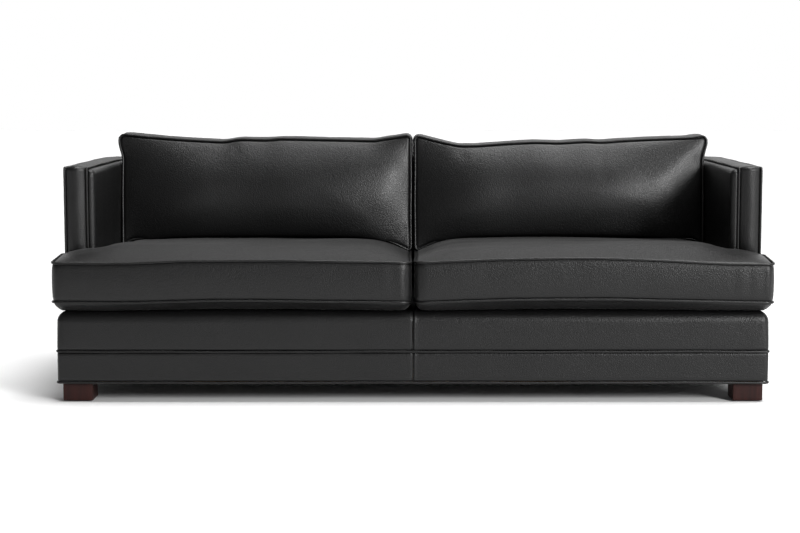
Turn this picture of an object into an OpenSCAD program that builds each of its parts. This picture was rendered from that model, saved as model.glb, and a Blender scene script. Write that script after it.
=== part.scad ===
// Two-seat leather sofa with T-shaped loose seat cushions, loose boxed back
// cushions, thin level arms that run round into the back, an upholstered base
// with two welts, and four low block feet. +X is to the right as one faces the
// sofa, the front looks along -Y, and the floor is Z = 0.

/* [Base] */
// Width of the base, over its leather
base_w = 2205; // [1900:5:2400]
// Depth of the base, from its front face to its back face
base_d = 966; // [900:2:1040]
// Height of the base above its feet
base_h = 227; // [200:1:260]
// Radius of the padded top edge in front of the arms
edge_r = 35; // [20:1:45]
// Radius of the front upright corners
front_corner_r = 14; // [8:1:30]
// Radius of the rear upright corners
rear_corner_r = 110; // [100:1:130]
// Height of the middle welt above the feet
mid_welt_h = 101; // [60:1:140]
// Thickness of the leather
leather = 3; // [2:0.5:4]
// Diameter of every welt
welt_d = 8; // [6:0.5:10]

/* [Feet] */
// Height of the feet that shows below the base
foot_h = 58; // [40:1:90]
// Side of each square foot
foot_side = 92; // [70:1:110]
// How far the front feet stand in from the front and the sides
foot_inset = 15; // [10:1:40]
// How far the rear feet stand in from the back and the sides
rear_foot_inset = 42; // [40:1:70]
// Thickness of the glide under each foot
glide_h = 3; // [2:0.5:6]
// Diameter of the glides
glide_d = 40; // [25:1:60]
// Diameter of the bolt that holds each foot
bolt_d = 8; // [6:1:12]

/* [Arms and back frame] */
// Height of the arms and the back frame above the base
arm_h = 436; // [380:1:480]
// Distance from the front of the base to the front of the arms
arm_setback = 168; // [140:1:200]
// Width of the arms and the back frame between their welts
frame_t = 72; // [64:1:90]
// Thickness of the padding inside the arms, past the inner welt
arm_pad_t = 26; // [20:1:40]
// Thickness of the padding on the back frame, at its top
back_pad_t = 26; // [20:1:40]
// Thickness of the padding on the back frame, at the seat
back_pad_low_t = 74; // [60:1:90]
// Height above the base at which the back starts to lean
back_lean_h = 165; // [120:1:200]
// Radius of the rounded edges of the inner padding
pad_edge_r = 18; // [8:1:20]

/* [Timber and springs] */
// How far the timber lies inside the leather
timber_inset = 18; // [15:1:25]
// Thickness of the rails
rail_t = 25; // [20:1:32]
// Thickness of the back posts and the back rails
post_t = 46; // [36:1:48]
// Distance from the top of the rails to the top of the base
spring_drop = 35; // [30:1:50]
// Side of the corner blocks
block_side = 60; // [50:1:70]
// Diameter of the frame screws
screw_d = 5; // [4:0.5:6]
// Thickness of the spring wire
wire_d = 3.4; // [3:0.1:4]
// Width of a spring
spring_w = 56; // [40:1:70]
// Number of springs
spring_count = 8; // [6:1:10]
// Number of bends in each spring
spring_bends = 22; // [16:1:26]
// Number of webbing strips on the back
web_count = 7; // [4:1:10]
// Width of a webbing strip
web_w = 70; // [40:1:90]

/* [Seat cushions] */
// How far the seat cushions stand out past the front of the base
seat_overhang = 22; // [10:1:40]
// How far the ears of the seat cushions stand out past the sides of the base
ear_overhang = 8; // [4:1:15]
// Height of the lower seat welt above the base, at the corners
seat_welt_low = 35; // [30:1:45]
// Height between the two seat welts
seat_boxing = 111; // [90:1:130]
// How much higher the welts run in the middle of a cushion
seat_rise = 13; // [4:1:18]
// Crown of the seat above its upper welt
seat_crown = 32; // [20:1:40]
// Crown of the seat below its lower welt
seat_belly = 60; // [48:1:70]
// Radius of the seat cushion corners
seat_corner_r = 26; // [10:1:40]
// How far the seat cushion sides draw in between their corners
seat_draw = 5; // [0:1:8]
// Half of the gap between two cushions side by side
half_gap = 5; // [4.8:0.1:9]

/* [Back cushions] */
// Height of a back cushion at its corners
back_h = 350; // [300:1:380]
// Height of the underside of the back cushions above the base
back_seat_h = 178; // [174:1:186]
// Distance between the front and rear welts of a back cushion
back_boxing = 150; // [120:1:160]
// Lean of the back cushions, in degrees
back_lean = 10; // [6:1:12]
// Crown of the front of a back cushion
back_crown = 42; // [20:1:50]
// Crown of the rear of a back cushion
back_rear_crown = 20; // [8:1:22]
// How far the top of a back cushion dips between its corners
back_dip = 19; // [0:1:24]
// How far the sides of a back cushion draw in
back_draw = 6; // [0:1:10]
// How much narrower each side of a back cushion is at the seat
back_squeeze = 14; // [10:1:24]
// How far the top corners of a back cushion reach past the arm padding
back_spread = 5; // [0:1:10]
// Radius of the back cushion corners
back_corner_r = 24; // [10:1:40]
// Thickness of the cushion covers with their fibre wrap
cover_t = 6; // [5:0.5:8]

/* [Hidden] */
$fn = 48;
fit = 0.2;            // clearance between pieces that are sewn or seated together
soft_fit = 0.5;       // clearance between a loose cushion and what it rests on
side_fit = 1;         // clearance between a welted cushion side and the padding
dust_t = 1.5;         // thickness of the dust cover
wood_gap = 2;         // room for the dust cover below the timber
wood_z = foot_h + wood_gap;
base_z = foot_h;
deck_z = foot_h + base_h;
top_z = deck_z + arm_h;
rail_z = deck_z - spring_drop;
half_w = base_w / 2;
front_y = (seat_overhang - base_d) / 2;
rear_y = front_y + base_d;
arm_y = front_y + arm_setback;
welt_r = welt_d / 2;
welt_out = 2;         // how far a frame welt stands past the faces that it joins
bottom_welt_z = base_z + welt_r;
mid_welt_z = base_z + mid_welt_h;
rim_z = top_z + welt_out - welt_r;      // centre of the welts round the frame top
band_in = half_w - frame_t;             // inner edge of the frame top
pad_in = band_in - arm_pad_t;           // inner face of the arm padding
back_band_y = rear_y - frame_t;
back_low_y = back_band_y - back_pad_low_t;
back_high_y = back_band_y - back_pad_t;
pad_top_z = rim_z - welt_r - fit;
timber_x = half_w - timber_inset;
timber_front_y = front_y + timber_inset;
timber_rear_y = rear_y - timber_inset;
post_y = timber_rear_y - post_t;
rail_top_t = 25;                        // height of the top rails
rail_top_z = rim_z - welt_r - rail_top_t;
post_gap = 2;                           // room between an arm post and the inner welt
post_x = band_in + welt_r + post_gap;
frame_into_corner = 50;                 // how far the back timber runs into the rounded corners
back_frame_x = half_w - rear_corner_r + frame_into_corner;
corner_y = rear_y - rear_corner_r;
spring_z = rail_z + wire_d;

black_leather = [0.13, 0.13, 0.135];
welt_leather = [0.09, 0.09, 0.09];
dark_wood = [0.23, 0.14, 0.12];
pale_wood = [0.78, 0.64, 0.46];
foam_yellow = [0.88, 0.83, 0.62];
deck_black = [0.2, 0.2, 0.2];
steel_grey = [0.62, 0.63, 0.65];
web_brown = [0.55, 0.42, 0.28];

// General helpers

// A box between two corners
module block(low, high) {
    translate(low) cube(high - low);
}

// The given shape on the left (side -1) or on the right (side 1), drawn on the right
module on_side(side) {
    mirror([side < 0 ? 1 : 0, 0, 0]) children();
}

// Plan of the base and frame, drawn in by e from the outer faces
module plan(e) {
    w = half_w - e;
    low = front_y + e;
    high = rear_y - e;
    rf = max(front_corner_r - e, 0.5);
    rr = rear_corner_r - e;
    translate([-w, low + rf]) square([2 * w, high - rr - low - rf]);
    translate([-w + rf, low]) square([2 * (w - rf), high - low - rr]);
    translate([-w + rr, low + rf]) square([2 * (w - rr), high - low - rf]);
    for (s = [-1, 1]) {
        translate([s * (w - rf), low + rf]) circle(rf);
        translate([s * (w - rr), high - rr]) circle(rr);
    }
}

// A rectangle whose upper corner at the origin end is rounded
module round_corner(w, h, r) {
    translate([r, 0]) square([w - r, h]);
    square([w, h - r]);
    intersection() {
        translate([r, h - r]) circle(r);
        square([w, h]);
    }
}

// A profile in Y and Z drawn along X, between two values of X
module along_x(x0, x1) {
    translate([x0, 0, 0]) rotate([90, 0, 90]) linear_extrude(x1 - x0) children();
}

// A profile in X and Z drawn along Y, between two values of Y
module along_y(y0, y1) {
    translate([0, y1, 0]) rotate([90, 0, 0]) linear_extrude(y1 - y0) children();
}

// A round bar from one point to another along X, Y or Z
module bar_x(x0, x1, y, z, d) {
    translate([x0, y, z]) rotate([0, 90, 0]) cylinder(h = x1 - x0, d = d);
}
module bar_y(x, y0, y1, z, d) {
    translate([x, y0, z]) rotate([-90, 0, 0]) cylinder(h = y1 - y0, d = d);
}
module bar_z(x, y, z0, z1, d) {
    translate([x, y, z0]) cylinder(h = z1 - z0, d = d);
}

// A quarter ring of round bar about a point, from angle a to a + 90
module quarter_ring(x, y, z, r, d, a) {
    translate([x, y, z]) rotate([0, 0, a]) rotate_extrude(angle = 90) translate([r, 0]) circle(d = d);
}

// Feet

// x and y of the corner of a foot that lies nearest the middle of the sofa
function foot_x(rear) = half_w - (rear ? rear_foot_inset : foot_inset) - foot_side;
function foot_y(rear) = rear ? rear_y - rear_foot_inset - foot_side : front_y + foot_inset;
function block_y(rear) = rear ? post_y - block_side : timber_front_y + rail_t;
block_x = timber_x - rail_t - block_side;

// Where the bolt of a foot stands, in the middle of what the foot and its block share
function bolt_x(rear) = (max(foot_x(rear), block_x)
    + min(foot_x(rear) + foot_side, block_x + block_side)) / 2;
function bolt_y(rear) = (max(foot_y(rear), block_y(rear))
    + min(foot_y(rear) + foot_side, block_y(rear) + block_side)) / 2;

module foot(side, rear) {
    color(dark_wood) on_side(side)
        block([foot_x(rear), foot_y(rear), glide_h],
              [foot_x(rear) + foot_side, foot_y(rear) + foot_side, wood_z]);
}

module foot_glides() {
    color(steel_grey) for (s = [-1, 1], rear = [false, true])
        on_side(s) translate([foot_x(rear) + foot_side / 2, foot_y(rear) + foot_side / 2, 0])
            cylinder(h = glide_h, d = glide_d);
}

bolt_low = 20;        // height of the bolt's lower end in the foot
bolt_grip = 70;       // length of the bolt inside the block
module foot_bolts() {
    color(steel_grey) for (s = [-1, 1], rear = [false, true])
        on_side(s) bar_z(bolt_x(rear), bolt_y(rear), bolt_low, wood_z + bolt_grip, bolt_d);
}

// Timber frame

module front_rail() {
    color(pale_wood) block([-timber_x, timber_front_y, wood_z],
                           [timber_x, timber_front_y + rail_t, rail_z]);
}

module back_rail() {
    color(pale_wood) block([-back_frame_x, post_y, wood_z], [back_frame_x, timber_rear_y, rail_z]);
}

module side_rail(side) {
    color(pale_wood) on_side(side) block([timber_x - rail_t, timber_front_y + rail_t, wood_z],
                                         [timber_x, post_y, rail_z]);
}

cross_rail_drop = 30;  // room for the springs to sink above the cross rails
cross_rail_x = 340;    // distance of a cross rail from the middle
module cross_rails() {
    color(pale_wood) for (s = [-1, 1])
        block([s * cross_rail_x - rail_t / 2, timber_front_y + rail_t, wood_z],
              [s * cross_rail_x + rail_t / 2, post_y, rail_z - cross_rail_drop]);
}

module corner_blocks() {
    color(pale_wood) for (s = [-1, 1], rear = [false, true])
        on_side(s) block([block_x, block_y(rear), wood_z],
                         [block_x + block_side, block_y(rear) + block_side, rail_z]);
}

arm_post_d = 50;       // depth of an arm post from front to back
arm_post_back = leather + fit;
module arm_posts() {
    color(pale_wood) for (s = [-1, 1])
        on_side(s) block([post_x, arm_y + arm_post_back, rail_z],
                         [timber_x, arm_y + arm_post_back + arm_post_d, rail_top_z]);
}

module arm_top_rails() {
    color(pale_wood) for (s = [-1, 1])
        on_side(s) block([post_x, arm_y + fold_r, rail_top_z],
                         [timber_x, post_y, rail_top_z + rail_top_t]);
}

back_post_w = 44;      // width of a back post
module back_posts() {
    color(pale_wood) for (x = [-back_frame_x + back_post_w / 2, 0, back_frame_x - back_post_w / 2])
        block([x - back_post_w / 2, post_y, rail_z], [x + back_post_w / 2, timber_rear_y, rail_top_z]);
}

module back_top_rail() {
    color(pale_wood) block([-back_frame_x, post_y, rail_top_z],
                           [back_frame_x, timber_rear_y, rail_top_z + rail_top_t]);
}

screw_bite = 12;       // length of a screw inside the rail that it holds
screw_head_h = 3;
screw_rows = [0.2, 0.65];                 // heights of the screws, as shares of the block's height
across = 0.3 * block_side;
high = 0.1 * (rail_z - wood_z);        // how much higher the crossing screws lie
module frame_screw() {
    cylinder(h = block_side + screw_bite, d = screw_d);
    translate([0, 0, -screw_head_h]) cylinder(h = screw_head_h, d = 2 * screw_d);
}
module frame_screws() {
    color(steel_grey) for (s = [-1, 1], rear = [false, true], row = screw_rows) on_side(s) {
        z = wood_z + row * (rail_z - wood_z);
        translate([block_x + across, rear ? block_y(rear) : block_y(rear) + block_side, z])
            rotate([rear ? -90 : 90, 0, 0]) frame_screw();
        translate([block_x, block_y(rear) + block_side - across, z + high])
            rotate([0, 90, 0]) frame_screw();
    }
}

// Springs, webbing and padding of the seat

spring_lap = 12;                       // length of a spring on top of the front rail
spring_y0 = timber_front_y + rail_t - spring_lap;
spring_y1 = post_y + spring_lap;
spring_flat = 0.55;                    // share of a bend that is its flat end
spring_pitch = (spring_y1 - spring_y0) / (spring_bends - 1 + spring_flat);
spring_room = 2 * (timber_x - rail_t - block_side);
function spring_x(i) = -spring_room / 2 + spring_room * (i + 0.5) / spring_count;

// Middle line of a spring: a flat end, then a slanted run to the other side
spring_line = [for (i = [0 : spring_bends - 1]) let (s = i % 2 == 0 ? -1 : 1)
    each [[s * spring_w / 2, spring_y0 + i * spring_pitch],
          [s * spring_w / 2, spring_y0 + (i + spring_flat) * spring_pitch]]];

// Direction across a line of points at point i
function unit(v) = v / norm(v);
function turned(v) = [-v[1], v[0]];
function mitre(line, i) =
    let (a = turned(unit(line[max(i, 1)] - line[max(i, 1) - 1])),
         b = turned(unit(line[min(i + 1, len(line) - 1)] - line[min(i, len(line) - 2)])),
         m = unit(a + b))
    m / (m * a);

module wire_outline(line, d) {
    last = len(line) - 1;
    polygon([for (i = [0 : last]) line[i] + mitre(line, i) * d / 2,
             for (i = [last : -1 : 0]) line[i] - mitre(line, i) * d / 2]);
}

module seat_springs() {
    color(steel_grey) for (i = [0 : spring_count - 1])
        translate([spring_x(i), 0, rail_z]) linear_extrude(wire_d) wire_outline(spring_line, wire_d);
}

clip_l = 14;
clip_h = 1.8;
module spring_clips() {
    half = spring_w / 2 + wire_d;
    color(steel_grey) for (i = [0 : spring_count - 1])
        for (y = [spring_y0 - clip_l / 2, spring_y1 - clip_l / 2])
            block([spring_x(i) - half, y, spring_z], [spring_x(i) + half, y + clip_l, spring_z + clip_h]);
}

web_t = 2;
web_lap = 40;          // length of a strip on the back rail
module back_webbing() {
    room = spring_room * (spring_count - 1) / spring_count;  // the strips pass between the springs
    color(web_brown) for (i = [0 : web_count - 1]) {
        x = -room / 2 + room * (i + 0.5) / web_count;
        block([x - web_w / 2, post_y - web_t, rail_z - web_lap],
              [x + web_w / 2, post_y, rail_top_z + rail_top_t - web_t]);
    }
}

module deck_pad() {
    color(deck_black) block([-band_in + welt_r, arm_y + fit, spring_z + clip_h],
                            [band_in - welt_r, back_low_y - fit, deck_z]);
}

// Body of the base, drawn in by e from its outer faces
module base_body(e) {
    ledge_r = edge_r - e;
    tall = deck_z - base_z - e;
    intersection() {
        translate([0, 0, base_z]) linear_extrude(tall) plan(e);
        along_x(-half_w, half_w)
            translate([front_y + e, base_z]) round_corner(base_d, tall, ledge_r);
        along_y(front_y, arm_y) for (s = [-1, 1])
            mirror([s < 0 ? 1 : 0, 0]) translate([-half_w + e, base_z])
                round_corner(half_w - e, tall, ledge_r);
    }
}

roll_in = leather + 1.5;               // outer face of the padding behind the leather
roll_gap = 0.5;
module front_edge_roll() {
    color(foam_yellow) difference() {
        intersection() {
            base_body(roll_in);
            block([-half_w, front_y, bottom_welt_z + welt_r], [half_w, arm_y - roll_gap, deck_z]);
        }
        block([-timber_x, timber_front_y, 0], [timber_x, arm_y + 1, spring_z + clip_h + fit]);
    }
}

// Leather and welts of the base

module base_cover_front(side) {
    color(black_leather) on_side(side) difference() {
        intersection() {
            base_body(0);
            block([fit, front_y - 1, bottom_welt_z + welt_r + fit], [half_w + 1, arm_y - fit, deck_z + 1]);
        }
        base_body(leather);
        welt_slot();
    }
}

// The room between the panels above and below the middle welt
module welt_slot() {
    block([-half_w - 1, front_y - 1, mid_welt_z - welt_r - fit],
          [half_w + 1, rear_y + 1, mid_welt_z + welt_r + fit]);
}

// Leather round the sides and the rear, one skin thick, between two heights
module skin(z0, z1) {
    difference() {
        translate([0, 0, z0]) linear_extrude(z1 - z0) plan(0);
        translate([0, 0, z0 - 1]) linear_extrude(z1 - z0 + 2) plan(leather);
    }
}

module side_skin(side, y0, z0, z1) {
    on_side(side) intersection() {
        skin(z0, z1);
        block([half_w - rear_corner_r + fit, y0, z0 - 1], [half_w + 1, rear_y + 1, z1 + 1]);
    }
}

module back_skin(z0, z1) {
    reach = half_w - rear_corner_r - fit;
    intersection() {
        skin(z0, z1);
        block([-reach, corner_y, z0 - 1], [reach, rear_y + 1, z1 + 1]);
    }
}

base_skin_low = bottom_welt_z + welt_r + fit;
base_skin_high = deck_z - fit / 2;
module base_cover_side(side) {
    color(black_leather) difference() {
        side_skin(side, arm_y, base_skin_low, base_skin_high);
        welt_slot();
    }
}

module base_cover_back() {
    color(black_leather) difference() {
        back_skin(base_skin_low, base_skin_high);
        welt_slot();
    }
}

// A welt all round the base at height z
module base_welt(z, d) {
    wf = half_w - front_corner_r;
    wr = half_w - rear_corner_r;
    lap = 0.01;
    bar_x(-wf - lap, wf + lap, front_y, z, d);
    bar_x(-wr - lap, wr + lap, rear_y, z, d);
    for (s = [-1, 1])
        bar_y(s * half_w, front_y + front_corner_r - lap, corner_y + lap, z, d);
    quarter_ring(wf, front_y + front_corner_r, z, front_corner_r, d, -90);
    quarter_ring(-wf, front_y + front_corner_r, z, front_corner_r, d, 180);
    quarter_ring(wr, corner_y, z, rear_corner_r, d, 0);
    quarter_ring(-wr, corner_y, z, rear_corner_r, d, 90);
}

module base_mid_welt() {
    color(welt_leather) base_welt(mid_welt_z, welt_d);
}

module base_bottom_welt() {
    color(welt_leather) base_welt(bottom_welt_z, welt_d);
}

dust_edge = 8;         // how far the dust cover stays inside the leather
dust_gap = 0.5;
module dust_cover() {
    color(deck_black) difference() {
        translate([0, 0, wood_z - dust_t]) linear_extrude(dust_t) plan(dust_edge);
        for (s = [-1, 1], rear = [false, true]) on_side(s)
            block([foot_x(rear) - dust_gap, foot_y(rear) - dust_gap, 0],
                  [foot_x(rear) + foot_side + dust_gap, foot_y(rear) + foot_side + dust_gap, wood_z + 1]);
    }
}

staple_l = 10;
staple_t = 1;
staple_step = 110;
module dust_cover_staples() {
    z = wood_z - dust_t - staple_t;
    reach = foot_x(true) - staple_step / 2;
    count = floor(2 * reach / staple_step);
    color(steel_grey) for (i = [0 : count], y = [timber_front_y + rail_t / 2, timber_rear_y - rail_t / 2]) {
        x = -reach + i * 2 * reach / count;
        block([x - staple_l / 2, y, z], [x + staple_l / 2, y + staple_t, z + staple_t]);
    }
}

// Leather and welts of the arms and the back frame

outer_rim = half_w + welt_out - welt_r;  // x of the outer welts' middle line
fold_r = 9;            // radius at which the front panel of an arm folds over its top
fold_d = 24;           // how far the front panel runs back over the top
module arm_front_panel(side) {
    tall = top_z - deck_z - fit;
    color(black_leather) on_side(side)
        along_x(band_in + welt_r + fit, outer_rim - welt_r - fit)
            translate([arm_y, deck_z + fit]) difference() {
                round_corner(fold_d, tall, fold_r);
                translate([leather, -1])
                    round_corner(fold_d, tall - leather + 1, fold_r - leather);
            }
}

module outside_panel(side) {
    color(black_leather)
        side_skin(side, arm_y + welt_out + welt_r + fit, deck_z + fit / 2, pad_top_z);
}

module outside_back_panel() {
    color(black_leather) back_skin(deck_z + fit / 2, pad_top_z);
}

// Plan of the level top between its two welts
module top_plan() {
    gap = welt_r + fit;
    difference() {
        plan(welt_r - welt_out + gap);
        translate([-band_in - gap, front_y - 1])
            square([2 * (band_in + gap), corner_y - front_y + 1]);
        inner_r = rear_corner_r - frame_t + gap;
        translate([-half_w + rear_corner_r, front_y])
            square([base_w - 2 * rear_corner_r, corner_y + inner_r - front_y]);
        for (s = [-1, 1]) translate([s * (half_w - rear_corner_r), corner_y]) circle(inner_r);
    }
}

module arm_top_band(side) {
    color(black_leather) on_side(side) intersection() {
        translate([0, 0, top_z - leather]) linear_extrude(leather) top_plan();
        block([0, arm_y + fold_d + fit, 0], [half_w, corner_y - fit, top_z + 1]);
    }
}

module back_top_band() {
    color(black_leather) intersection() {
        translate([0, 0, top_z - leather]) linear_extrude(leather) top_plan();
        block([-half_w, corner_y, 0], [half_w, rear_y, top_z + 1]);
    }
}

// A welt along the top of the frame and down the arm fronts, x from the middle at the arms
module rim_welt(x, y, r) {
    low = deck_z + welt_r;
    cy = y - r;
    cx = x - r;
    lap = 0.01;
    bar_x(-cx - lap, cx + lap, y, rim_z, welt_d);
    for (s = [-1, 1]) {
        bar_y(s * x, arm_y + welt_out, cy + lap, rim_z, welt_d);
        bar_z(s * x, arm_y + welt_out, low, rim_z, welt_d);
        translate([s * x, arm_y + welt_out, rim_z]) sphere(d = welt_d);
    }
    quarter_ring(cx, cy, rim_z, r, welt_d, 0);
    quarter_ring(-cx, cy, rim_z, r, welt_d, 90);
}

module frame_outer_welt() {
    inset = welt_r - welt_out;
    color(welt_leather) rim_welt(outer_rim, rear_y - inset, rear_corner_r - inset);
}

module frame_inner_welt() {
    color(welt_leather) rim_welt(band_in, back_band_y, rear_corner_r - frame_t);
}

// Padding inside an arm, drawn in by e, from height z0
module arm_pad(e, z0 = deck_z + fit) {
    outer = band_in - welt_r - fit;
    low = arm_y + welt_out + e;
    r = pad_edge_r - e;
    wide = outer - pad_in - e;
    intersection() {
        translate([pad_in + e, low, z0]) linear_extrude(arm_h) mirror([0, 1])
            translate([0, low - back_band_y]) round_corner(wide, back_band_y - low, r);
        along_y(front_y, rear_y) translate([pad_in + e, 0])
            round_corner(wide, pad_top_z - e, r);
    }
}

module arm_inner_cover(side) {
    color(black_leather) on_side(side) difference() {
        arm_pad(0);
        arm_pad(leather, deck_z - 1);
        block([band_in - welt_r - 1, arm_y + 2 * leather + pad_edge_r, 0], [half_w, rear_y, top_z]);
    }
}

module arm_foam(side) {
    color(foam_yellow) on_side(side) union() {
        intersection() {
            arm_pad(leather + fit);
            block([0, front_y, 0], [half_w, back_band_y - fit, top_z]);
        }
        block([band_in - welt_r - 2 * fit, arm_y + 2 * leather + pad_edge_r + arm_post_d, deck_z + fit],
              [post_x, back_band_y - fit, rail_top_z]);
    }
}

// Padding on the back frame, drawn in by e, from height z0: upright at the seat, then raked
module back_pad(e, z0 = deck_z + fit) {
    high = pad_top_z - e;
    reach = pad_in - fit;
    along_x(-reach, reach) difference() {
        polygon([[back_low_y + e, z0], [back_low_y + e, deck_z + back_lean_h],
                 [back_high_y + e, high], [back_band_y - welt_r - fit, high],
                 [back_band_y - welt_r - fit, z0]]);
        translate([back_high_y + e, high - pad_edge_r]) difference() {
            translate([-pad_edge_r, 0]) square([2 * pad_edge_r, pad_edge_r + 1]);
            translate([pad_edge_r, 0]) circle(pad_edge_r);
            translate([pad_edge_r, -1]) square([pad_edge_r + 1, pad_edge_r + 3]);
        }
    }
}

module inside_back_cover() {
    color(black_leather) difference() {
        back_pad(0);
        back_pad(leather, deck_z - 1);
    }
}

module inside_back_foam() {
    color(foam_yellow) back_pad(leather + fit);
}

// Loose cushions

// Points of a corner, rounded from the side towards p to the side towards q
function corner_arc(p, c, q, r, n) =
    let (u = unit(p - c), v = unit(q - c))
    [for (i = [0 : n]) let (s = i / n) c + u * r * pow(1 - s, 2) + v * r * pow(s, 2)];

// Outline through the given corners, anticlockwise, its sides drawn in by their own amounts
function soft_outline(corners, r, arc_n, side_n, draws) =
    let (n = len(corners))
    [for (k = [0 : n - 1])
        let (p = corners[(k + n - 1) % n], c = corners[k], q = corners[(k + 1) % n],
             d = unit(q - c), from = c + d * r, to = q - d * r)
        each concat(corner_arc(p, c, q, r, arc_n),
            [for (i = [1 : 1 : side_n[k] - 1]) let (s = i / side_n[k])
                from + (to - from) * s + draws[k] * sin(180 * s) * turned(d)])];

// Triangles that close a stack of rings of n points, with one point at each end
function stack_faces(rings, n) = let (low = rings * n, high = low + 1) concat(
    [for (i = [0 : n - 1]) [low, i, (i + 1) % n]],
    [for (j = [0 : rings - 2], i = [0 : n - 1]) let (a = j * n + i, b = j * n + (i + 1) % n)
        each [[a, b + n, b], [a, a + n, b + n]]],
    [for (i = [0 : n - 1]) [high, (rings - 1) * n + (i + 1) % n, (rings - 1) * n + i]]);

// Triangles of a closed tube of rings of k points
function loop_faces(rings, k) =
    [for (j = [0 : rings - 1], i = [0 : k - 1])
        let (a = j * k + i, b = j * k + (i + 1) % k,
             c = ((j + 1) % rings) * k + i, d = ((j + 1) % rings) * k + (i + 1) % k)
        each [[a, b, d], [a, d, c]]];

// Rings of a cushion: how far out each lies, and on which face it is (-1, 0 or 1)
fine_rings = [[0.4, -1], [0.7, -1], [0.9, -1], [1, -1], [1.005, 0], [1, 1], [0.93, 1], [0.78, 1],
              [0.55, 1], [0.28, 1]];
plain_rings = [[0.6, -1], [1, -1], [1, 1], [0.8, 1], [0.45, 1]];

// Seat cushion, drawn on the right. Its crown is steep at the front and gentle at the rear
seat_x0 = half_gap;
seat_x1 = pad_in - welt_r - side_fit;
ear_x = half_w + ear_overhang;
seat_front = front_y - seat_overhang;
ear_fit = 3;           // clearance between the welts of an ear and those of the arm
ear_rear = arm_y + welt_out - 2 * welt_r - ear_fit;
seat_rear = back_low_y - welt_r - side_fit;
seat_low = deck_z + seat_welt_low;
seat_high = seat_low + seat_boxing;
mid_in = 12;           // how far the middle of the crown lies in front of the ear's rear
seat_mid = [(seat_x0 + seat_x1) / 2, ear_rear - mid_in];
seat_rest = deck_z + soft_fit;
back_room = 26;        // room behind the rear welt of a back cushion for its rear crown
back_y = back_low_y - welt_r - side_fit - back_boxing - back_room;  // its front welt, low
back_z = deck_z + back_seat_h;

front_draw = 2;        // how far the front of a seat cushion draws in
ear_draw = 1;          // how far the sides of an ear draw in
under_fit = 3;         // room between the seat and the underside of a back cushion
front_steep = 4;       // how steeply the crown rises from the front welts
rear_steep = 2;        // how steeply it rises from the rear welts
function seat_outline(e, r, arc_n, side_n) = soft_outline(
    [[seat_x0 + e, seat_front + e], [ear_x - e, seat_front + e], [ear_x - e, ear_rear - e],
     [seat_x1 - e, ear_rear - e], [seat_x1 - e, seat_rear - e], [seat_x0 + e, seat_rear - e]],
    r, arc_n, side_n, [front_draw, ear_draw, ear_draw, seat_draw, seat_draw, seat_draw]);
function seat_lift(x) = seat_rise * sin(180 * min(max((x - seat_x0) / (ear_x - seat_x0), 0), 1));
function seat_z(p, t, face, e) =
    let (steep = p[1] < seat_mid[1] ? front_steep : rear_steep,
         bulge = 1 - pow(min(t, 1), steep),
         under_back = p[1] > back_y - back_crown,
         top = seat_high - e + seat_lift(p[0]) + seat_crown * bulge,
         low = seat_low + e + seat_lift(p[0]) - seat_belly * bulge)
    face > 0 ? (under_back ? min(top, back_z - e - under_fit) : top)
    : face < 0 ? max(low, seat_rest + e)
    : (seat_high + seat_low) / 2 + seat_lift(p[0]);

module seat_form(e, rings, arc_n, side_n) {
    outline = seat_outline(e, seat_corner_r, arc_n, side_n);
    n = len(outline);
    points = concat(
        [for (ring = rings, p = outline)
            let (q = seat_mid + (p - seat_mid) * ring[0]) [q[0], q[1], seat_z(q, ring[0], ring[1], e)]],
        [[seat_mid[0], seat_mid[1], seat_z(seat_mid, 0, -1, e)],
         [seat_mid[0], seat_mid[1], seat_z(seat_mid, 0, 1, e)]]);
    polyhedron(points, stack_faces(len(rings), n));
}

fine_arc = 3;
plain_arc = 1;
seat_sides = [8, 3, 2, 6, 7, 6];
seat_plain_sides = [5, 1, 1, 3, 4, 3];
module seat_core(side) {
    color(foam_yellow) on_side(side) seat_form(cover_t, plain_rings, plain_arc, seat_plain_sides);
}
module seat_cover(side) {
    color(black_leather) on_side(side) difference() {
        seat_form(0, fine_rings, fine_arc, seat_sides);
        seat_form(cover_t, plain_rings, plain_arc, seat_plain_sides);
    }
}

// A welt swept along a closed line of points, with the outward direction at each
welt_sides = 5;
module welt_loop(line, outward, up) {
    polyhedron([for (i = [0 : len(line) - 1], k = [0 : welt_sides - 1])
            let (a = 360 * k / welt_sides)
            line[i] + outward[i] * welt_r * cos(a) + up * welt_r * sin(a)],
        loop_faces(len(line), welt_sides));
}

// Outward direction in the plane of a closed outline at point i
function outward_at(o, i) = let (n = len(o)) -turned(unit(o[(i + 1) % n] - o[(i + n - 1) % n]));

module seat_welts(side) {
    outline = seat_outline(0, seat_corner_r, fine_arc, seat_sides);
    count = len(outline) - 1;
    out = [for (i = [0 : count]) let (d = outward_at(outline, i)) [d[0], d[1], 0]];
    color(welt_leather) on_side(side) for (face = [-1, 1])
        welt_loop([for (p = outline) [p[0], p[1], seat_z(p, 1, face, 0)]], out, [0, 0, 1]);
}

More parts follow.
